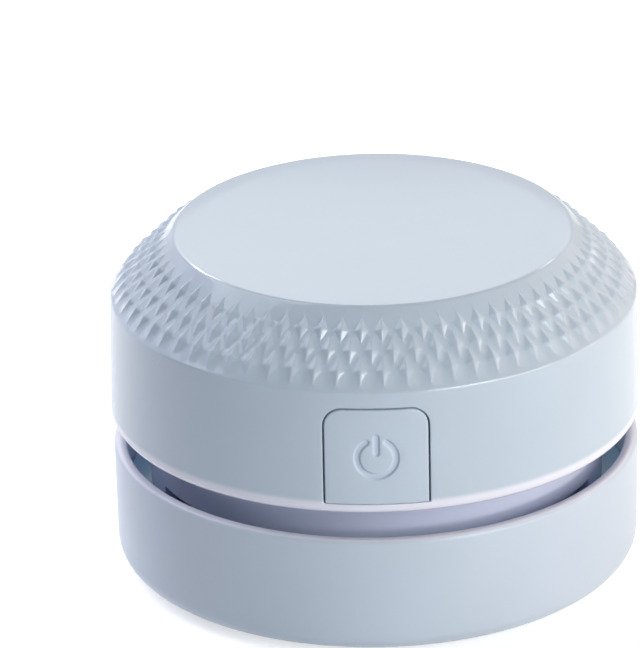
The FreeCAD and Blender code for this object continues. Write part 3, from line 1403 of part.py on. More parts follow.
def build():
    """All the pieces, one object each."""
    tufts = brush_tufts()
    pins = switch_pins()
    core = armature_core()
    tabs = terminal_blocks()
    motor_terminals = group("motor_terminals", *tabs)
    return [
        foot_pads(), dust_cup(), collar_ring(), tufts, brush_holder(tufts),
        fan_housing(), neck_seal(), fan_shroud(), shroud_screws(), filter_frame(), filter_mesh(),
        fan_impeller(), motor_shaft(), motor_can(), motor_end_cap(motor_terminals), motor_bushes(),
        motor_magnets(), core, armature_windings(core), commutator(), motor_brushes(),
        motor_terminals, top_shell(), chassis(), body_screws(), battery_cells(), cell_strips(),
        pins, circuit_board(pins), charge_board(), charge_socket(), socket_tongue(), board_screws(),
        switch_body(), switch_plunger(), power_button(), motor_clamp(), clamp_screws(),
        battery_leads(), motor_leads(), charge_leads()]


pieces = build()
doc.recompute()
check(pieces)
os.makedirs("parts", exist_ok=True)
for piece in pieces:
    piece.Shape.exportStep(f"parts/{piece.Label}.step")
    print(f"{piece.Label}: {len(piece.Shape.Solids)} solids, {piece.Shape.Volume:.1f} mm3")
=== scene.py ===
import bmesh
import bpy
import json
import math
import random
from mathutils import Matrix, Vector
from mathutils.geometry import delaunay_2d_cdt

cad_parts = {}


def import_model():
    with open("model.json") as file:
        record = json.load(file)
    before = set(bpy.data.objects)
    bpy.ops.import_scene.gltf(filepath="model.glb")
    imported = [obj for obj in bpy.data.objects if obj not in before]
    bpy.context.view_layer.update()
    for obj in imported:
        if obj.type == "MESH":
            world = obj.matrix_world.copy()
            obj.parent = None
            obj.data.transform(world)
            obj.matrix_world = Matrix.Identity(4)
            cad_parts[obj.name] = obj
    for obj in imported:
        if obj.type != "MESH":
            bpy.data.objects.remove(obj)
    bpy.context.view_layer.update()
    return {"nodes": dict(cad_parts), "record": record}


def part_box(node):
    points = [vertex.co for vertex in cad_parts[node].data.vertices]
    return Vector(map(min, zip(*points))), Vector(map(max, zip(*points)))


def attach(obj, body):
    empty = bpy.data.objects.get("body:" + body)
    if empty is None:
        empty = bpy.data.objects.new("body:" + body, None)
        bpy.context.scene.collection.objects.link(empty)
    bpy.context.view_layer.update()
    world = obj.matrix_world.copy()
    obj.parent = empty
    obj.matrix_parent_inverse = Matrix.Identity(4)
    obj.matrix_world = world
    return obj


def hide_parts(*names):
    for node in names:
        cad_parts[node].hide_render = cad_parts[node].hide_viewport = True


# Desktop mini vacuum cleaner. Meshes are worked out in millimetres and written in metres.

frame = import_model()

MM = 0.001
FRONT = 270.0               # azimuth of the button, counter-clockwise from +X, in degrees
FRONT_SIDE = -1             # sign of Y where the button is
REAR_SIDE = 1               # and where the socket is


def box_mm(node):
    """Lowest and highest corner of a CAD node, in millimetres."""
    low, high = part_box(node)
    return low / MM, high / MM


# ---- sizes, in millimetres ----

shell_low, shell_high = box_mm("top_shell")
cup_low, cup_high = box_mm("dust_cup")
foot_low, foot_high = box_mm("foot_pads")
tuft_low, tuft_high = box_mm("brush_tufts")

WALL_LOW = shell_low.z
SHELL_TOP = shell_high.z
CONE_HEIGHT = 10.4
CONE_LOW = SHELL_TOP - CONE_HEIGHT
WALL_LOW_RADIUS = 43.5
SHOULDER_RADIUS = 43.0
TOP_RADIUS = 32.4
CONE_RUN = SHOULDER_RADIUS - TOP_RADIUS
CONE_SLANT = math.hypot(CONE_RUN, CONE_HEIGHT)
SHELL_WALL = 2.0
WALL_LOW_ROUND = 1.6
SHOULDER_ROUND = 0.8
TOP_ROUND = 1.2
TOP_RINGS = (0.9, 0.6, 0.3)     # shares of the flat top's radius
INNER_SHOULDER_DROP = 0.86      # from the shoulder down to the end of the wall's inside
CEILING_INSET = 0.82            # from the top's radius in to the ceiling's

KNURL_COUNT = 70            # pyramids in a row
KNURL_ROWS = 3
KNURL_START = 3.65          # from the shoulder to the middle of the lowest row, along the slope
KNURL_STEP = 3.5
KNURL_WIDTH = 2.55
KNURL_LENGTH = 5.1
KNURL_RISE = 0.52           # 0.75 in the solids; lower here, for shading like the photo's
KNURL_TURN = -0.7           # the middle row's turn from the button's middle, in degrees
RIDGE_ROUND = 0.07          # share of a pyramid's half width over which its ridges are rounded
TOOTH_LEVELS = (0.0, 0.1, 0.22, 0.5, 0.78, 0.9, 1.0)

BUTTON_WIDTH = 16.5
BUTTON_HEIGHT = 16.1
BUTTON_CORNER = 2.9
BUTTON_LOW_CORNER = 0.15
BUTTON_GAP = 0.25
BUTTON_LOW_GAP = 0.4        # share of a gap, or of a lip, that is left under the button
BUTTON_LOW = WALL_LOW + 2.0
BUTTON_LOW_LIMIT = 0.19     # how far under the button its opening and its flange reach
LIP = 0.22                  # rounded edge of the button and of the openings
FLANGE_DEPTH = 2.2
FLANGE_MARGIN = 1.0
FLANGE_THICKNESS = 1.0

SYMBOL_PLACE = BUTTON_LOW + 7.85
SYMBOL_RADIUS = 3.65
SYMBOL_LINE = 1.05
SYMBOL_OPENING = 42.0       # in degrees
SYMBOL_BAR = (0.3, 4.1)     # the bar's ends, above the ring's middle
SYMBOL_DEPTH = 0.36
# The groove's flank: how far each ring lies outside the line's half width, and how deep.
SYMBOL_FLANK = ((0.16, 0.0), (0.07, 0.02), (0.0, 0.09), (-0.14, SYMBOL_DEPTH - 0.07),
                (-0.2, SYMBOL_DEPTH - 0.02), (-0.28, SYMBOL_DEPTH))

SOCKET_PLACE = 32.88
SOCKET_OPENING = (4.77, 1.93)   # half its width and half its height

CUP_FOOT_RADIUS = 42.9
CUP_FOOT_ROUND = 3.8
CUP_RIM_RADIUS = 43.1
CUP_RIM_ROUND = 0.9
CUP_MOUTH_RADIUS = 41.0     # inside, above the step
CUP_INNER_RADIUS = 40.2     # inside, below it
CUP_STEP = 11.6             # height above the table, as are BELL_TOP and INLET_TOP
CUP_FLOOR = 1.8
CUP_FLOOR_ROUND = 0.8
CUP_EDGE_ROUND = 0.4
BELL_RADIUS = 20.0
BELL_OUTER_RADIUS = 21.6
BELL_DEPTH = 3.2
BELL_TOP = 5.8
BELL_ROUND = 0.6
INLET_RADIUS = 9.0
INLET_OUTER_RADIUS = 10.6
INLET_TOP = 8.4
INLET_FOOT_ROUND = 0.3

FOOT_RADIUS = 4.0
FOOT_ROUND = 0.35
TREAD_GROOVE = (2.1, 2.3, 2.6, 2.8)     # radii of its mouth, its floor and its mouth again
GROOVE_DEPTH = 0.35
GROOVE_ROUND = 0.1
TREAD_ROUND = 0.12

TUFT_COUNT = 30
TUFT_RADIUS = 0.9
TUFT_PLACE = tuft_high.x - TUFT_RADIUS
TUFT_SEED = 7
BRISTLE_COUNT = 26          # bristles in a tuft
BRISTLE_RADIUS = 0.1
BRISTLE_TAPER = 0.45        # share of its radius that a bristle loses towards its tip
BRISTLE_ROOT = 0.8          # share of its reach from the tuft's middle at the root
BRISTLE_LEAN = 0.2          # and what it gains towards the tip
BRISTLE_TURN = 137.5        # from one bristle to the next, in degrees
TURN_SCATTER = 9.0
TIP_SCATTER = 0.3

# ---- fineness of the meshes ----

COLUMNS = 560               # divisions round the shell
CUP_COLUMNS = COLUMNS // 2
FOOT_COLUMNS = 48
WALL_ROWS = 9
BUTTON_COLUMNS = 22         # half the columns that the button's opening takes out of the wall
SOCKET_COLUMNS = 14
ROUND_STEPS = 6
PANEL_SIDE_STEPS = 12
PANEL_ROUND_STEPS = 8
CAP_STEPS = 8               # round end of a symbol's line
RING_STEPS = 48             # along the symbol's ring
BAR_STEPS = 6
BRISTLE_STEPS = 4
BRISTLE_SIDES = 5
SHARP_ANGLE = math.radians(32)
JOIN_DISTANCE = 0.0005
FILL_TOLERANCE = 1e-7
WALL_CLEARANCE = 0.3        # of the wall's inner points from an opening
SUPPORT_PITCH = 0.75        # of the points on the button's face
SUPPORT_INSET = 0.6         # their distance from its edge
SYMBOL_CLEARANCE = 1.0      # and from the symbol


# ---- mesh building ----

def put_in_scene(name, data):
    item = bpy.data.objects.new(name, data)
    bpy.context.scene.collection.objects.link(item)
    return item


class Skin:
    """Faces collected point by point, in millimetres; equal points are joined."""

    def __init__(self):
        self.points = []
        self.index = {}
        self.faces = []

    def vertex(self, point):
        key = tuple(round(value, 4) for value in point)
        if key not in self.index:
            self.index[key] = len(self.points)
            self.points.append(tuple(point))
        return self.index[key]

    def face(self, points):
        corners = []
        for point in points:
            corner = self.vertex(point)
            if corner not in corners:
                corners.append(corner)
        if len(corners) > 2:
            self.faces.append(corners)

    def strip(self, first, second):
        """Faces between two rings of as many points."""
        total = len(first)
        for index in range(total):
            follow = (index + 1) % total
            self.face([first[index], first[follow], second[follow], second[index]])

    def rings(self, rings):
        for first, second in zip(rings, rings[1:]):
            self.strip(first, second)

    def fan(self, ring, middle):
        for index, point in enumerate(ring):
            self.face([point, ring[(index + 1) % len(ring)], middle])

    def build(self, name, body, material, replaced):
        """The object in metres, with outward faces and hard edges where the surface folds."""
        mesh = bpy.data.meshes.new(name)
        points = [[value * MM for value in point] for point in self.points]
        mesh.from_pydata(points, [], self.faces)
        work = bmesh.new()
        work.from_mesh(mesh)
        bmesh.ops.remove_doubles(work, verts=work.verts, dist=JOIN_DISTANCE * MM)
        bmesh.ops.recalc_face_normals(work, faces=work.faces)
        for face in work.faces:
            face.smooth = True
        for edge in work.edges:
            edge.smooth = edge.calc_face_angle(0.0) < SHARP_ANGLE
        work.to_mesh(mesh)
        work.free()
        item = put_in_scene(name, mesh)
        mesh.materials.append(material)
        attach(item, body)
        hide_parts(*replaced)


def polar(radius, azimuth, height):
    angle = math.radians(azimuth)
    return (radius * math.cos(angle), radius * math.sin(angle), height)


def ring(radius, height, columns, middle=(0.0, 0.0)):
    azimuths = [FRONT + 360.0 * index / columns for index in range(columns)]
    points = [polar(radius, azimuth, height) for azimuth in azimuths]
    return [(x + middle[0], y + middle[1], z) for x, y, z in points]


def revolve(skin, profile, columns, middle=(0.0, 0.0)):
    """Surface turned about an upright axis from (radius, height) points; a radius of 0 closes it."""
    for (first, low), (second, high) in zip(profile, profile[1:]):
        if second == 0:
            skin.fan(ring(first, low, columns, middle), (*middle, high))
        elif first == 0:
            skin.fan(ring(second, high, columns, middle), (*middle, low))
        else:
            skin.strip(ring(first, low, columns, middle), ring(second, high, columns, middle))


def arc(before, corner, after, radius):
    """Points of the round between two straight lines that meet in a corner."""
    corner = Vector(corner)
    back = (Vector(before) - corner).normalized()
    ahead = (Vector(after) - corner).normalized()
    half = back.angle(ahead) / 2
    middle = corner + (back + ahead).normalized() * (radius / math.sin(half))
    start = corner + back * (radius / math.tan(half)) - middle
    end = corner + ahead * (radius / math.tan(half)) - middle
    sweep = start.angle_signed(end)
    points = []
    for step in range(ROUND_STEPS + 1):
        turned = start.copy()
        turned.rotate(Matrix.Rotation(-sweep * step / ROUND_STEPS, 2))
        points.append(tuple(middle + turned))
    return points


def rounded(corners, closed=False):
    """Profile with rounded corners, from (radius, height, round); a round of 0 is sharp."""
    total = len(corners)
    points = []
    for index, (x, z, radius) in enumerate(corners):
        if radius == 0:
            points.append((x, z))
            continue
        before = corners[(index - 1) % total][:2]
        after = corners[(index + 1) % total][:2]
        points += arc(before, (x, z), after, radius)
    return points + points[:1] if closed else points


def split(start, end, parts):
    """Evenly spaced points from start up to, but not including, end."""
    return [tuple(a + (b - a) * index / parts for a, b in zip(start, end))
            for index in range(parts)]


def rounded_panel(half, low, high, top_round, low_round):
    """Closed outline in the XZ plane with rounded corners; every outline has as many points."""
    corners = ((half - low_round, low + low_round, low_round, -90.0),
               (half - top_round, high - top_round, top_round, 0.0),
               (-half + top_round, high - top_round, top_round, 90.0),
               (-half + low_round, low + low_round, low_round, 180.0))
    arcs = []
    for x, z, radius, first in corners:
        angles = [math.radians(first + 90.0 * step / PANEL_ROUND_STEPS)
                  for step in range(PANEL_ROUND_STEPS + 1)]
        arcs.append([(x + radius * math.cos(a), z + radius * math.sin(a)) for a in angles])
    points = []
    for index, corner in enumerate(arcs):
        follow = arcs[(index + 1) % len(arcs)]
        points += corner[:-1] + split(corner[-1], follow[0], PANEL_SIDE_STEPS)
    return points


def counter_clockwise(loop):
    area = sum(a[0] * b[1] - b[0] * a[1] for a, b in zip(loop, loop[1:] + loop[:1]))
    return loop if area > 0 else loop[::-1]


def fill(outer, holes, inside=()):
    """Triangles, as triples of 2D points, between an outline and its holes."""
    points, faces = [], []
    for loop in [outer, *holes]:
        faces.append(list(range(len(points), len(points) + len(loop))))
        points += [Vector(point) for point in counter_clockwise(loop)]
    points += [Vector(point) for point in inside]
    found = delaunay_2d_cdt(points, [], faces, 0, FILL_TOLERANCE)
    corners, triangles, origins = found[0], found[2], found[5]
    # A triangle that comes from the outline alone lies in none of the holes.
    return [[tuple(corners[i]) for i in triangle]
            for triangle, origin in zip(triangles, origins) if list(origin) == [0]]


# ---- shell ----

def wall_radius(height):
    change = (SHOULDER_RADIUS - WALL_LOW_RADIUS) * (height - WALL_LOW) / (CONE_LOW - WALL_LOW)
    return WALL_LOW_RADIUS + change


def on_wall(x, z, side, depth=0.0, inner=0.0):
    """Point of the wall seen straight from the front or the rear."""
    radius = wall_radius(z) - inner
    return (x, side * (math.sqrt(radius * radius - x * x) - depth), z)


def on_front(points, depth=0.0):
    return [on_wall(x, z, FRONT_SIDE, depth) for x, z in points]


def button_outline(margin):
    """The button's outline grown by a margin, which is smaller along the bottom edge."""
    low = BUTTON_LOW - min(margin * BUTTON_LOW_GAP, BUTTON_LOW_LIMIT)
    low_corner = BUTTON_LOW_CORNER + max(margin, 0.0) * BUTTON_LOW_GAP
    return rounded_panel(BUTTON_WIDTH / 2 + margin, low, BUTTON_LOW + BUTTON_HEIGHT + margin,
                         BUTTON_CORNER + margin, low_corner)


def socket_outline(margin):
    half, rise = SOCKET_OPENING
    return rounded_panel(half + margin, SOCKET_PLACE - rise - margin,
                         SOCKET_PLACE + rise + margin, rise + margin, rise + margin)


def wall_openings(lip):
    """The openings, wider by a lip, as (side, middle column, half its columns, outline)."""
    return [(FRONT_SIDE, 0, BUTTON_COLUMNS, button_outline(BUTTON_GAP + lip)),
            (REAR_SIDE, COLUMNS // 2, SOCKET_COLUMNS, socket_outline(lip))]


def near(point, loop, reach):
    """Whether a 2D point is inside a loop's box grown by reach."""
    xs = [p[0] for p in loop]
    zs = [p[1] for p in loop]
    return (min(xs) - reach < point[0] < max(xs) + reach
            and min(zs) - reach < point[1] < max(zs) + reach)


def wall_rows(low, high):
    return [low + (high - low) * row / WALL_ROWS for row in range(WALL_ROWS + 1)]


def pierced_wall(skin, rows, inner, openings):
    """Wall surface through rows of points at the given heights, with its openings."""
    def corner(column, height):
        return polar(wall_radius(height) - inner, FRONT + 360.0 * column / COLUMNS, height)

    taken = set()
    for side, middle, half, outline in openings:
        taken.update(column % COLUMNS for column in range(middle - half, middle + half))
    for column in range(COLUMNS):
        if column in taken:
            continue
        for low, high in zip(rows, rows[1:]):
            skin.face([corner(column, low), corner(column + 1, low),
                       corner(column + 1, high), corner(column, high)])
    for side, middle, half, outline in openings:
        first, last = middle - half, middle + half
        loop = [corner(column, rows[0]) for column in range(first, last)]
        loop += [corner(last, height) for height in rows[:-1]]
        loop += [corner(column, rows[-1]) for column in range(last, first, -1)]
        loop += [corner(first, height) for height in rows[:0:-1]]
        support = [corner(column, height)[::2] for column in range(first + 1, last)
                   for height in rows[1:-1]]
        support = [point for point in support if not near(point, outline, WALL_CLEARANCE)]
        for triangle in fill([point[::2] for point in loop], [outline], support):
            skin.face([on_wall(x, z, side, inner=inner) for x, z in triangle])


def lip_steps():
    """Steps over a rounded edge: how far each is from the edge's end, and how deep."""
    angles = [math.pi / 2 * step / ROUND_STEPS for step in range(ROUND_STEPS + 1)]
    return [(LIP * (1 - math.sin(angle)), LIP * (1 - math.cos(angle))) for angle in angles]


def opening_rim(skin, outline_at, gap, side):
    """Rounded edge of an opening, carried through the wall."""
    rings = [[on_wall(x, z, side, depth) for x, z in outline_at(gap + margin)]
             for margin, depth in lip_steps()]
    rings.append([on_wall(x, z, side, inner=SHELL_WALL) for x, z in outline_at(gap)])
    skin.rings(rings)


def cone_point(x, y, rise=0.0):
    """Point of the cone above (x, y), lifted off it by rise along its normal."""
    radius = math.hypot(x, y)
    height = CONE_LOW + (SHOULDER_RADIUS - radius) * CONE_HEIGHT / CONE_RUN
    outward = 1 + rise * CONE_HEIGHT / CONE_SLANT / radius
    return (x * outward, y * outward, height + rise * CONE_RUN / CONE_SLANT)


def eased(value):
    """Absolute value with a rounded foot, still 1 at 1."""
    soft = math.hypot(value, RIDGE_ROUND) - RIDGE_ROUND
    return soft / (math.hypot(1.0, RIDGE_ROUND) - RIDGE_ROUND)


def tooth_frames():
    """Middle, half width and half length of every pyramid, as seen from above."""
    first_radius = SHOULDER_RADIUS - KNURL_START * CONE_RUN / CONE_SLANT
    frames = []
    for row in range(KNURL_ROWS):
        along = KNURL_START + row * KNURL_STEP
        radius = SHOULDER_RADIUS - along * CONE_RUN / CONE_SLANT
        shrink = radius / first_radius
        shift = 0.5 if row % 2 == 0 else 0.0
        for index in range(KNURL_COUNT):
            angle = math.radians(FRONT + KNURL_TURN + 360.0 * (index + shift) / KNURL_COUNT)
            outward = Vector((math.cos(angle), math.sin(angle)))
            sideways = Vector((-outward.y, outward.x))
            half_length = -KNURL_LENGTH * shrink / 2 * CONE_RUN / CONE_SLANT
            frames.append((outward * radius, sideways * (KNURL_WIDTH * shrink / 2),
                           outward * half_length))
    return frames


def tooth(skin, middle, half_width, half_length):
    """Four-sided pyramid with rounded ridges; returns its outline as seen from above."""
    last = len(TOOTH_LEVELS) - 1

    def place(i, j):
        p = math.copysign(TOOTH_LEVELS[abs(i)], i)
        q = math.copysign(TOOTH_LEVELS[abs(j)], j)
        rise = KNURL_RISE * max(0.0, 1 - eased(p) - eased(q))
        return middle + half_width * p + half_length * q, rise

    def point(i, j):
        flat, rise = place(i, j)
        return cone_point(flat.x, flat.y, rise if abs(i) + abs(j) < last else 0.0)

    for i in range(-last, last):
        for j in range(-last, last):
            cell = [(i, j), (i + 1, j), (i + 1, j + 1), (i, j + 1)]
            kept = [point(*c) for c in cell if abs(c[0]) + abs(c[1]) <= last]
            if len(kept) > 2:
                skin.face(kept)
    corners = [(last, 0), (0, last), (-last, 0), (0, -last)]
    loop = []
    for index, (i, j) in enumerate(corners):
        next_i, next_j = corners[(index + 1) % len(corners)]
        for step in range(last):
            a = i + (next_i - i) * step // last
            b = j + (next_j - j) * step // last
            loop.append(tuple(place(a, b)[0]))
    return loop


def knurled_cone(skin, low_radius, high_radius):
    """The cone between two circles, with its rows of pyramids."""
    outlines = [tooth(skin, *place) for place in tooth_frames()]
    low_circle, high_circle = [[point[:2] for point in ring(radius, 0.0, COLUMNS)]
                               for radius in (low_radius, high_radius)]
    for triangle in fill(low_circle, [high_circle, *outlines]):
        skin.face([cone_point(x, y) for x, y in triangle])


def top_shell(material):
    """Wall, knurled cone and flat top in one piece, with the openings for button and socket."""
    skin = Skin()
    low_corner = (WALL_LOW_RADIUS, WALL_LOW)
    shoulder = (SHOULDER_RADIUS, CONE_LOW)
    top_corner = (TOP_RADIUS, SHELL_TOP)
    low_arc = arc((0, WALL_LOW), low_corner, shoulder, WALL_LOW_ROUND)
    shoulder_arc = arc(low_corner, shoulder, top_corner, SHOULDER_ROUND)
    top_arc = arc(shoulder, top_corner, (0, SHELL_TOP), TOP_ROUND)
    inner_low = (WALL_LOW_RADIUS - SHELL_WALL, WALL_LOW)
    revolve(skin, [inner_low, *low_arc], COLUMNS)
    revolve(skin, shoulder_arc, COLUMNS)
    knurled_cone(skin, shoulder_arc[-1][0], top_arc[0][0])
    top_edge = top_arc[-1][0]
    flat_top = [(top_edge * share, SHELL_TOP) for share in TOP_RINGS]
    revolve(skin, top_arc + flat_top + [(0, SHELL_TOP)], COLUMNS)

    pierced_wall(skin, wall_rows(low_arc[-1][1], shoulder_arc[0][1]), 0.0, wall_openings(LIP))
    opening_rim(skin, button_outline, BUTTON_GAP, FRONT_SIDE)
    opening_rim(skin, socket_outline, 0.0, REAR_SIDE)

    inner_shoulder = CONE_LOW - INNER_SHOULDER_DROP
    pierced_wall(skin, wall_rows(WALL_LOW, inner_shoulder), SHELL_WALL, wall_openings(0.0))
    ceiling = SHELL_TOP - SHELL_WALL
    revolve(skin, [(wall_radius(inner_shoulder) - SHELL_WALL, inner_shoulder),
                   (TOP_RADIUS - CEILING_INSET, ceiling), (0, ceiling)], COLUMNS)
    skin.build("top_shell_skin", "motor_unit", material, ["top_shell"])


# ---- button ----

def stroke(path, half):
    """Outline of a line of that half width with round ends, along (x, z) points."""
    left, right = [], []
    for index, point in enumerate(path):
        before = Vector(path[max(index - 1, 0)])
        after = Vector(path[min(index + 1, len(path) - 1)])
        along = (after - before).normalized()
        across = Vector((-along.y, along.x)) * half
        left.append(tuple(Vector(point) + across))
        right.append(tuple(Vector(point) - across))
    caps = []
    for tip, inside in ((path[-1], path[-2]), (path[0], path[1])):
        along = (Vector(tip) - Vector(inside)).normalized()
        across = Vector((-along.y, along.x))
        angles = [math.pi * step / CAP_STEPS for step in range(1, CAP_STEPS)]
        caps.append([tuple(Vector(tip) + (across * math.cos(a) + along * math.sin(a)) * half)
                     for a in angles])
    return left + caps[0] + right[::-1] + caps[1]


def symbol_paths():
    """Middle lines of the power symbol: an open ring and a bar."""
    radius = SYMBOL_RADIUS - SYMBOL_LINE / 2
    cap = math.degrees(SYMBOL_LINE / 2 / radius)
    first = 90.0 + SYMBOL_OPENING / 2 + cap
    sweep = 360.0 - SYMBOL_OPENING - 2 * cap
    open_ring = []
    for step in range(RING_STEPS + 1):
        angle = math.radians(first + sweep * step / RING_STEPS)
        open_ring.append((radius * math.cos(angle), SYMBOL_PLACE + radius * math.sin(angle)))
    low = SYMBOL_PLACE + SYMBOL_BAR[0] + SYMBOL_LINE / 2
    high = SYMBOL_PLACE + SYMBOL_BAR[1] - SYMBOL_LINE / 2
    bar = [(0.0, low + (high - low) * step / BAR_STEPS) for step in range(BAR_STEPS + 1)]
    return [open_ring, bar]


def button_support():
    """Grid of (x, z) points on the button's face, clear of its edge and of the symbol."""
    half, high = BUTTON_WIDTH / 2, BUTTON_LOW + BUTTON_HEIGHT
    columns = int(half / SUPPORT_PITCH)
    rows = int(BUTTON_HEIGHT / SUPPORT_PITCH)
    points = []
    for column in range(-columns, columns + 1):
        for row in range(1, rows + 1):
            x, z = column * SUPPORT_PITCH, BUTTON_LOW + row * SUPPORT_PITCH
            inside = abs(x) < half - SUPPORT_INSET and z < high - SUPPORT_INSET
            in_corner = abs(x) > half - BUTTON_CORNER and z > high - BUTTON_CORNER
            reach = math.hypot(x, z - SYMBOL_PLACE)
            if inside and not in_corner and reach > SYMBOL_RADIUS + SYMBOL_CLEARANCE:
                points.append((x, z))
    return points


def power_button(material):
    """Button with a rounded edge, an engraved power symbol and a flange behind the wall."""
    skin = Skin()
    back = FLANGE_DEPTH + FLANGE_THICKNESS
    edge = [(-margin, depth) for margin, depth in lip_steps()]
    edge += [(0.0, FLANGE_DEPTH), (FLANGE_MARGIN, FLANGE_DEPTH), (FLANGE_MARGIN, back)]
    skin.rings([on_front(button_outline(margin), depth) for margin, depth in edge])
    for triangle in fill(button_outline(FLANGE_MARGIN), []):
        skin.face(on_front(triangle, back))

    mouths = []
    for path in symbol_paths():
        loops = [stroke(path, SYMBOL_LINE / 2 + margin) for margin, depth in SYMBOL_FLANK]
        depths = [depth for margin, depth in SYMBOL_FLANK]
        skin.rings([on_front(loop, depth) for loop, depth in zip(loops, depths)])
        for triangle in fill(loops[-1], []):
            skin.face(on_front(triangle, SYMBOL_DEPTH))
        mouths.append(loops[0])
    for triangle in fill(button_outline(-LIP), mouths, button_support()):
        skin.face(on_front(triangle))
    skin.build("power_button_cap", "button", material, ["power_button"])


# ---- cup ----

def dust_cup(material):
    """Outer cup with its rounded rim and foot, the bell under it and the inlet chimney."""
    base, rim = cup_low.z, cup_high.z
    bell, floor_top = base + BELL_DEPTH, base + CUP_FLOOR
    outside = [(INLET_RADIUS, bell, CUP_EDGE_ROUND), (BELL_RADIUS, bell, BELL_ROUND),
               (BELL_RADIUS, base, BELL_ROUND), (CUP_FOOT_RADIUS, base, CUP_FOOT_ROUND),
               (CUP_RIM_RADIUS, rim, CUP_RIM_ROUND)]
    inside = [(CUP_MOUTH_RADIUS, rim, CUP_RIM_ROUND), (CUP_MOUTH_RADIUS, CUP_STEP, 0),
              (CUP_INNER_RADIUS, CUP_STEP, 0), (CUP_INNER_RADIUS, floor_top, CUP_FLOOR_ROUND),
              (BELL_OUTER_RADIUS, floor_top, CUP_EDGE_ROUND),
              (BELL_OUTER_RADIUS, BELL_TOP, BELL_ROUND),
              (INLET_OUTER_RADIUS, BELL_TOP, INLET_FOOT_ROUND),
              (INLET_OUTER_RADIUS, INLET_TOP, CUP_EDGE_ROUND),
              (INLET_RADIUS, INLET_TOP, CUP_EDGE_ROUND)]
    skin = Skin()
    revolve(skin, rounded(outside + inside, closed=True), CUP_COLUMNS)
    skin.build("dust_cup_body", "base", material, ["dust_cup"])


# ---- brush and feet ----

def brush_tufts(material):
    """Tufts of thin bristles that taper and lean apart within the tuft's radius."""
    random.seed(TUFT_SEED)
    skin = Skin()
    for tuft in range(TUFT_COUNT):
        middle = Vector(polar(TUFT_PLACE, 360.0 * tuft / TUFT_COUNT, 0.0))
        for bristle in range(BRISTLE_COUNT):
            turn = bristle * BRISTLE_TURN + random.uniform(-TURN_SCATTER, TURN_SCATTER)
            share_out = math.sqrt((bristle + 0.5) / BRISTLE_COUNT)
            reach = (TUFT_RADIUS - BRISTLE_RADIUS) * share_out
            tip = tuft_low.z + random.uniform(0.0, TIP_SCATTER)
            rings = []
            for step in range(BRISTLE_STEPS + 1):
                share = step / BRISTLE_STEPS
                height = tuft_high.z + (tip - tuft_high.z) * share
                lean = BRISTLE_ROOT + BRISTLE_LEAN * share * share
                place = middle + Vector(polar(reach * lean, turn, 0.0))
                radius = BRISTLE_RADIUS * (1 - BRISTLE_TAPER * share)
                rings.append(ring(radius, height, BRISTLE_SIDES, place[:2]))
            skin.rings(rings)
            skin.face(rings[0])
            skin.face(rings[-1])
    skin.build("brush_bristles", "base", material, ["brush_tufts"])


def foot_pads(material):
    """Rubber pads with a rounded edge and a groove round the tread."""
    low, high = foot_low.z, foot_high.z
    place = foot_high.x - FOOT_RADIUS
    groove = low + GROOVE_DEPTH
    mouth_in, floor_in, floor_out, mouth_out = TREAD_GROOVE
    profile = rounded([
        (0.0, low, 0), (mouth_in, low, TREAD_ROUND), (floor_in, groove, GROOVE_ROUND),
        (floor_out, groove, GROOVE_ROUND), (mouth_out, low, TREAD_ROUND),
        (FOOT_RADIUS, low, FOOT_ROUND), (FOOT_RADIUS, high, 0), (0.0, high, 0)])
    skin = Skin()
    for x in (-place, place):
        for y in (-place, place):
            revolve(skin, profile, FOOT_COLUMNS, (x, y))
    skin.build("foot_pad_set", "base", material, ["foot_pads"])


# ---- materials ----

# Noises: scale, detail and roughness.
CLOUD = (45.0, 3.0, 0.5)        # soft mottling of plastic
GRAIN = (1400.0, 3.0, 0.6)      # its fine skin
SPECKS = (900.0, 4.0, 0.7)      # rubber
MARKS = (300.0, 4.0, 0.6)       # metal
NOISE_RANGE = (0.3, 0.7)        # what a noise mostly stays within

# Shares of a colour or of a gloss between which a noise leads.
PLASTIC_SHADES = (0.975, 1.02)
PLASTIC_GLOSS = (0.94, 1.06)
RUBBER_SHADES = (0.7, 1.3)
METAL_SHADES = (0.88, 1.08)
METAL_GLOSS = (0.75, 1.3)
CLOTH_SHADES = (0.35, 1.0)

RUBBER_ROUGHNESS = (0.6, 0.85)
CLOTH_ROUGHNESS = 0.9
PLASTIC_IOR = 1.5
COAT_ROUGHNESS = 0.06
RUBBER_RELIEF = 4e-5            # reliefs in metres
METAL_RELIEF = 3e-6
THREAD_RELIEF = 0.3             # share of the pitch
WAVE_PERIOD = 0.314             # of a wave texture of scale 1
# Sockets of a colour mix node.
MIX_FACTOR, MIX_FIRST, MIX_SECOND, MIX_RESULT = 0, 6, 7, 2


def node_tree(name):
    material = bpy.data.materials.new(name)
    material.use_nodes = True
    tree = material.node_tree
    shader = tree.nodes["Principled BSDF"]
    place = tree.nodes.new("ShaderNodeTexCoord")
    return material, tree, shader, place.outputs["Object"]


def noise(tree, place, scale, detail, roughness):
    node = tree.nodes.new("ShaderNodeTexNoise")
    node.inputs["Scale"].default_value = scale
    node.inputs["Detail"].default_value = detail
    node.inputs["Roughness"].default_value = roughness
    tree.links.new(place, node.inputs["Vector"])
    return node.outputs["Fac"]


def spread(tree, value, low, high):
    """A noise value mapped to a range."""
    node = tree.nodes.new("ShaderNodeMapRange")
    node.inputs["From Min"].default_value = NOISE_RANGE[0]
    node.inputs["From Max"].default_value = NOISE_RANGE[1]
    node.inputs["To Min"].default_value = low
    node.inputs["To Max"].default_value = high
    tree.links.new(value, node.inputs["Value"])
    return node.outputs["Result"]


def scaled(colour, factor):
    return tuple(min(1.0, value * factor) for value in colour)


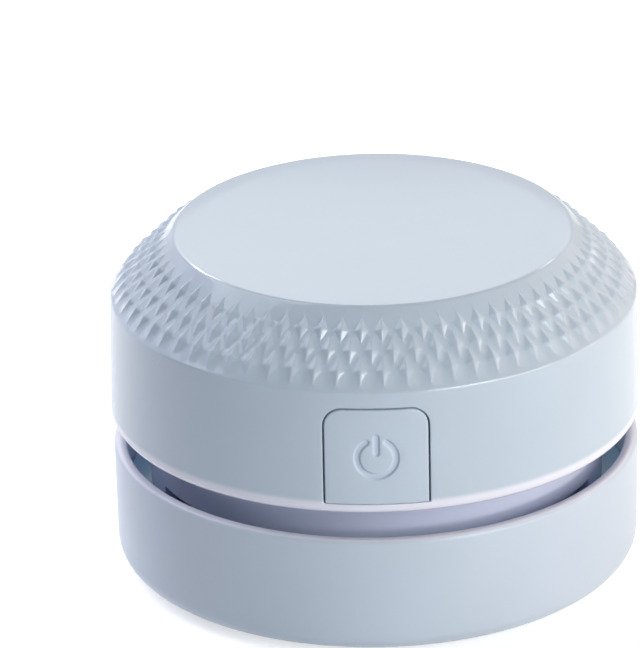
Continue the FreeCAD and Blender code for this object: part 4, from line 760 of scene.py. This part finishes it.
def shaded(tree, value, colour, shades):
    """A colour between two shades of one, led by a noise value."""
    node = tree.nodes.new("ShaderNodeValToRGB")
    for element, position, factor in zip(node.color_ramp.elements, NOISE_RANGE, shades):
        element.position = position
        element.color = (*scaled(colour, factor), 1.0)
    tree.links.new(value, node.inputs["Fac"])
    return node.outputs["Color"]


def bumped(tree, shader, value, height):
    """Surface relief of that height, in metres."""
    node = tree.nodes.new("ShaderNodeBump")
    node.inputs["Strength"].default_value = 1.0
    node.inputs["Distance"].default_value = height
    tree.links.new(value, node.inputs["Height"])
    tree.links.new(node.outputs["Normal"], shader.inputs["Normal"])


def painted_highlight_band(tree, place, body, edge, start, end):
    """Painted highlight: the body's colour, which gives way to a paler one between two heights in
    millimetres.
    """
    axes = tree.nodes.new("ShaderNodeSeparateXYZ")
    tree.links.new(place, axes.inputs["Vector"])
    fade = tree.nodes.new("ShaderNodeMapRange")
    fade.interpolation_type = "SMOOTHSTEP"
    fade.inputs["From Min"].default_value = start * MM
    fade.inputs["From Max"].default_value = end * MM
    tree.links.new(axes.outputs["Z"], fade.inputs["Value"])
    mix = tree.nodes.new("ShaderNodeMix")
    mix.data_type = "RGBA"
    tree.links.new(fade.outputs["Result"], mix.inputs[MIX_FACTOR])
    tree.links.new(body, mix.inputs[MIX_FIRST])
    tree.links.new(edge, mix.inputs[MIX_SECOND])
    return mix.outputs[MIX_RESULT]


def moulded(name, colour, gloss, texture=6e-6, coat=0.0, edge=None):
    """Moulded plastic: soft mottling in the colour, uneven gloss and a fine skin.

    An edge is a painted highlight band: (colour, height where it starts, height where it is full).
    """
    material, tree, shader, place = node_tree(name)
    cloud = noise(tree, place, *CLOUD)
    fine = noise(tree, place, *GRAIN)
    skin_colour = shaded(tree, cloud, colour, PLASTIC_SHADES)
    # An edge paints a pale highlight band into the colour.
    if edge:
        highlight_colour, start, end = edge
        pale = shaded(tree, cloud, highlight_colour, PLASTIC_SHADES)
        skin_colour = painted_highlight_band(tree, place, skin_colour, pale, start, end)
    tree.links.new(skin_colour, shader.inputs["Base Color"])
    roughness = spread(tree, cloud, *(gloss * share for share in PLASTIC_GLOSS))
    tree.links.new(roughness, shader.inputs["Roughness"])
    shader.inputs["IOR"].default_value = PLASTIC_IOR
    shader.inputs["Coat Weight"].default_value = coat
    shader.inputs["Coat Roughness"].default_value = COAT_ROUGHNESS
    bumped(tree, shader, fine, texture)
    return material


def rubber(name, colour):
    material, tree, shader, place = node_tree(name)
    speck = noise(tree, place, *SPECKS)
    tree.links.new(shaded(tree, speck, colour, RUBBER_SHADES), shader.inputs["Base Color"])
    tree.links.new(spread(tree, speck, *RUBBER_ROUGHNESS), shader.inputs["Roughness"])
    bumped(tree, shader, speck, RUBBER_RELIEF)
    return material


def metal(name, colour, gloss, brushed=(1.0, 1.0, 40.0)):
    """Metal with fine marks drawn out along one axis."""
    material, tree, shader, place = node_tree(name)
    stretch = tree.nodes.new("ShaderNodeMapping")
    stretch.inputs["Scale"].default_value = brushed
    tree.links.new(place, stretch.inputs["Vector"])
    marks = noise(tree, stretch.outputs["Vector"], *MARKS)
    tree.links.new(shaded(tree, marks, colour, METAL_SHADES), shader.inputs["Base Color"])
    roughness = spread(tree, marks, *(gloss * share for share in METAL_GLOSS))
    tree.links.new(roughness, shader.inputs["Roughness"])
    shader.inputs["Metallic"].default_value = 1.0
    bumped(tree, shader, marks, METAL_RELIEF)
    return material


def woven(name, colour, pitch):
    """Cloth of crossed threads, a pitch apart in metres."""
    material, tree, shader, place = node_tree(name)
    waves = []
    for direction in ("X", "Y"):
        node = tree.nodes.new("ShaderNodeTexWave")
        node.bands_direction = direction
        node.inputs["Scale"].default_value = WAVE_PERIOD / pitch
        tree.links.new(place, node.inputs["Vector"])
        waves.append(node.outputs["Fac"])
    top = tree.nodes.new("ShaderNodeMath")
    top.operation = "MAXIMUM"
    for index, wave in enumerate(waves):
        tree.links.new(wave, top.inputs[index])
    thread = top.outputs["Value"]
    tree.links.new(shaded(tree, thread, colour, CLOTH_SHADES), shader.inputs["Base Color"])
    shader.inputs["Roughness"].default_value = CLOTH_ROUGHNESS
    bumped(tree, shader, thread, pitch * THREAD_RELIEF)
    return material


SHELL_COLOUR = (0.545, 0.63, 0.735)
CUP_COLOUR = (0.6, 0.67, 0.78)
BUTTON_COLOUR = (0.58, 0.66, 0.775)
NECK_COLOUR = (0.64, 0.67, 0.85)
LEDGE_COLOUR = (0.55, 0.85, 1.0)
# Painted highlight: a pale band on the shell's lower rounded edge, standing in for light from the
# floor, and a thin pale line along the top of the cup's rim.
PAINTED_HIGHLIGHT_COLOUR = (0.86, 0.85, 0.96)
SHELL_PAINTED_HIGHLIGHT = (PAINTED_HIGHLIGHT_COLOUR, WALL_LOW + 2.7, WALL_LOW + 1.7)
CUP_PAINTED_HIGHLIGHT = (PAINTED_HIGHLIGHT_COLOUR, cup_high.z - 0.45, cup_high.z - 0.1)

FINISHES = {
    "foot_rubber": lambda name: rubber(name, (0.05, 0.055, 0.065)),
    # The cup's rim and the shell's lower edge get a painted highlight band.
    "cup_plastic": lambda name: moulded(name, CUP_COLOUR, 0.3, 5e-7, edge=CUP_PAINTED_HIGHLIGHT),
    "ring_plastic": lambda name: moulded(name, LEDGE_COLOUR, 0.28),
    "bristle": lambda name: moulded(name, (0.3, 0.36, 0.44), 0.45),
    "holder_plastic": lambda name: moulded(name, (0.42, 0.5, 0.6), 0.45),
    "neck_plastic": lambda name: moulded(name, NECK_COLOUR, 0.2),
    "seal_rubber": lambda name: rubber(name, (0.06, 0.065, 0.08)),
    "inner_plastic": lambda name: moulded(name, (0.4, 0.44, 0.5), 0.5),
    "filter_plastic": lambda name: moulded(name, (0.55, 0.6, 0.68), 0.4),
    "filter_cloth": lambda name: woven(name, (0.72, 0.74, 0.76), 0.0008),
    "fan_plastic": lambda name: moulded(name, (0.7, 0.72, 0.74), 0.35),
    "shaft_steel": lambda name: metal(name, (0.66, 0.67, 0.69), 0.18),
    "can_steel": lambda name: metal(name, (0.55, 0.56, 0.58), 0.3),
    "end_cap_plastic": lambda name: moulded(name, (0.75, 0.75, 0.73), 0.5),
    "bush_bronze": lambda name: metal(name, (0.42, 0.3, 0.18), 0.45),
    "magnet_iron": lambda name: rubber(name, (0.08, 0.08, 0.085)),
    "core_iron": lambda name: metal(name, (0.28, 0.28, 0.3), 0.5, (1.0, 1.0, 400.0)),
    "winding_copper": lambda name: metal(name, (0.62, 0.26, 0.12), 0.35, (1.0, 1.0, 90.0)),
    "contact_copper": lambda name: metal(name, (0.72, 0.38, 0.22), 0.3),
    "shell_plastic": lambda name: moulded(name, SHELL_COLOUR, 0.22, 2e-6, coat=0.35,
                                          edge=SHELL_PAINTED_HIGHLIGHT),
    "cell_can": lambda name: moulded(name, (0.12, 0.3, 0.5), 0.3),
    "strip_nickel": lambda name: metal(name, (0.62, 0.6, 0.56), 0.3),
    "board_laminate": lambda name: moulded(name, (0.03, 0.2, 0.09), 0.35),
    "socket_steel": lambda name: metal(name, (0.6, 0.61, 0.63), 0.25),
    "switch_plastic": lambda name: moulded(name, (0.03, 0.03, 0.035), 0.45),
    "plunger_plastic": lambda name: moulded(name, (0.8, 0.8, 0.78), 0.4),
    "button_plastic": lambda name: moulded(name, BUTTON_COLOUR, 0.3, 5e-7),
    "screw_steel": lambda name: metal(name, (0.5, 0.5, 0.52), 0.3, (1.0, 1.0, 1.0)),
    "lead_insulation": lambda name: moulded(name, (0.5, 0.05, 0.05), 0.4),
}
materials = {slot: finish(slot) for slot, finish in FINISHES.items()}


def dress_cad_nodes():
    """Every CAD node gets its slot's material."""
    for entry in frame["record"]["subparts"]:
        item = frame["nodes"][entry["node"]]
        item.data.materials.clear()
        item.data.materials.append(materials[entry["material_slot"]])


# ---- camera, floor and light ----

CAMERA_AZIMUTH = 0.5
CAMERA_ELEVATION = 23.43
CAMERA_DISTANCE = 1.04606
CAMERA_SIDE = -0.00884      # the aim's place to the right of the object's axis
CAMERA_HEIGHT = 0.04037     # and above the table
CAMERA_ROLL = -1.2
CAMERA_LENS = 355.12
CAMERA_CLIP = (0.01, 20.0)

WHITE = (1.0, 1.0, 1.0, 1.0)
AMBIENT_COLOUR = (0.5, 0.7, 1.0, 1.0)
AMBIENT_STRENGTH = 0.01
BACKDROP_STRENGTH = 1.0
FLOOR_HALF = 4.0
FLOOR_COLOUR = (0.9, 0.9, 0.9, 1.0)
FLOOR_ROUGHNESS = 0.9
FLOOR_GLOW = 0.58           # only where it is seen directly


def direction(azimuth, elevation):
    """Unit vector away from the object; azimuth 0 is in front, 90 at the right."""
    turn, tilt = math.radians(azimuth), math.radians(elevation)
    return Vector((math.sin(turn) * math.cos(tilt), -math.cos(turn) * math.cos(tilt),
                   math.sin(tilt)))


def camera():
    turned = math.radians(CAMERA_AZIMUTH)
    roll = math.radians(CAMERA_ROLL)
    back = direction(CAMERA_AZIMUTH, CAMERA_ELEVATION)
    right = Vector((math.cos(turned), math.sin(turned), 0.0))
    aim = right * CAMERA_SIDE + Vector((0.0, 0.0, CAMERA_HEIGHT))
    up = back.cross(right)
    turned_right = right * math.cos(roll) + up * math.sin(roll)
    turned_up = up * math.cos(roll) - right * math.sin(roll)
    data = bpy.data.cameras.new("camera")
    data.lens = CAMERA_LENS
    data.clip_start, data.clip_end = CAMERA_CLIP
    item = put_in_scene("camera", data)
    turn = Matrix((turned_right, turned_up, back)).transposed()
    item.matrix_world = Matrix.Translation(aim + back * CAMERA_DISTANCE) @ turn.to_4x4()
    bpy.context.scene.camera = item


def seen_directly(tree):
    """1 for camera, glossy and transmission rays, 0 for the others."""
    path = tree.nodes.new("ShaderNodeLightPath")
    first = tree.nodes.new("ShaderNodeMath")
    first.operation = "MAXIMUM"
    tree.links.new(path.outputs["Is Camera Ray"], first.inputs[0])
    tree.links.new(path.outputs["Is Glossy Ray"], first.inputs[1])
    second = tree.nodes.new("ShaderNodeMath")
    second.operation = "MAXIMUM"
    tree.links.new(first.outputs["Value"], second.inputs[0])
    tree.links.new(path.outputs["Is Transmission Ray"], second.inputs[1])
    return second.outputs["Value"]


def world():
    """White where it is seen directly, and hardly any light on the object."""
    scene_world = bpy.data.worlds.new("studio")
    bpy.context.scene.world = scene_world
    scene_world.use_nodes = True
    tree = scene_world.node_tree
    ambient = tree.nodes["Background"]
    ambient.inputs["Color"].default_value = AMBIENT_COLOUR
    ambient.inputs["Strength"].default_value = AMBIENT_STRENGTH
    backdrop = tree.nodes.new("ShaderNodeBackground")
    backdrop.inputs["Color"].default_value = WHITE
    backdrop.inputs["Strength"].default_value = BACKDROP_STRENGTH
    mix = tree.nodes.new("ShaderNodeMixShader")
    tree.links.new(seen_directly(tree), mix.inputs["Fac"])
    tree.links.new(ambient.outputs["Background"], mix.inputs[1])
    tree.links.new(backdrop.outputs["Background"], mix.inputs[2])
    tree.links.new(mix.outputs["Shader"], tree.nodes["World Output"].inputs["Surface"])


def floor():
    """Large pale floor under the feet that keeps the object's shadow."""
    corners = [(-FLOOR_HALF, -FLOOR_HALF, 0.0), (FLOOR_HALF, -FLOOR_HALF, 0.0),
               (FLOOR_HALF, FLOOR_HALF, 0.0), (-FLOOR_HALF, FLOOR_HALF, 0.0)]
    mesh = bpy.data.meshes.new("floor")
    mesh.from_pydata(corners, [], [(0, 1, 2, 3)])
    item = put_in_scene("floor", mesh)
    material = bpy.data.materials.new("floor")
    material.use_nodes = True
    tree = material.node_tree
    shader = tree.nodes["Principled BSDF"]
    shader.inputs["Base Color"].default_value = FLOOR_COLOUR
    shader.inputs["Roughness"].default_value = FLOOR_ROUGHNESS
    shader.inputs["Specular IOR Level"].default_value = 0.0
    shader.inputs["Emission Color"].default_value = WHITE
    lift = tree.nodes.new("ShaderNodeMath")
    lift.operation = "MULTIPLY"
    lift.inputs[1].default_value = FLOOR_GLOW
    tree.links.new(seen_directly(tree), lift.inputs[0])
    tree.links.new(lift.outputs["Value"], shader.inputs["Emission Strength"])
    mesh.materials.append(material)


# Soft lamps: name, azimuth, elevation, size in metres, power in watts and colour.
LAMPS = (
    ("left_back", -118.0, 22.0, (0.6, 0.8), 1.5, (0.69, 0.75, 1.0)),
    ("left_back_low", -150.0, 12.0, (0.7, 0.35), 4.2, (1.0, 0.97, 0.98)),
    ("back", 180.0, 28.0, (0.9, 0.15), 0.64, (0.92, 0.99, 1.0)),
    ("left_top", -110.0, 55.0, (0.6, 0.6), 2.9, (0.89, 0.93, 1.0)),
    ("right_back", 125.0, 22.0, (0.6, 0.6), 0.75, (1.0, 0.83, 0.84)),
    ("front_low", 32.0, 7.0, (0.4, 0.15), 1.38, (0.68, 0.86, 1.0)),
    ("front", 40.0, 25.0, (0.4, 0.3), 2.73, (0.95, 1.0, 0.98)),
    ("right_low", 60.0, 7.0, (0.6, 0.15), 2.51, (1.0, 0.84, 0.67)),
    ("right", 98.0, 10.0, (0.3, 0.2), 0.85, (1.0, 0.79, 0.63)),
    ("left_glint", -156.0, 37.0, (0.22, 0.1), 0.9, (1.0, 1.0, 1.0)),
    ("right_glint", 154.0, 37.0, (0.07, 0.1), 0.3, (1.0, 1.0, 1.0)),
)
UNREFLECTED = ("left_back_low",)
LAMP_DISTANCE = 0.9
LAMP_AIM = 0.03             # height of the point that the lamps look at


def area_light(name, azimuth, elevation, size, power, colour):
    """Lamp that looks at the object's middle."""
    data = bpy.data.lights.new(name, "AREA")
    data.shape = "RECTANGLE"
    data.size, data.size_y = size
    data.energy = power
    data.color = colour
    item = put_in_scene(name, data)
    away = direction(azimuth, elevation)
    item.visible_glossy = name not in UNREFLECTED
    item.location = Vector((0.0, 0.0, LAMP_AIM)) + away * LAMP_DISTANCE
    item.rotation_mode = "QUATERNION"
    item.rotation_quaternion = away.to_track_quat("Z", "Y")


def lights():
    for lamp in LAMPS:
        area_light(*lamp)


dress_cad_nodes()
top_shell(materials["shell_plastic"])
power_button(materials["button_plastic"])
dust_cup(materials["cup_plastic"])
brush_tufts(materials["bristle"])
foot_pads(materials["foot_rubber"])
floor()
world()
lights()
camera()
bpy.context.scene.view_settings.view_transform = "Standard"
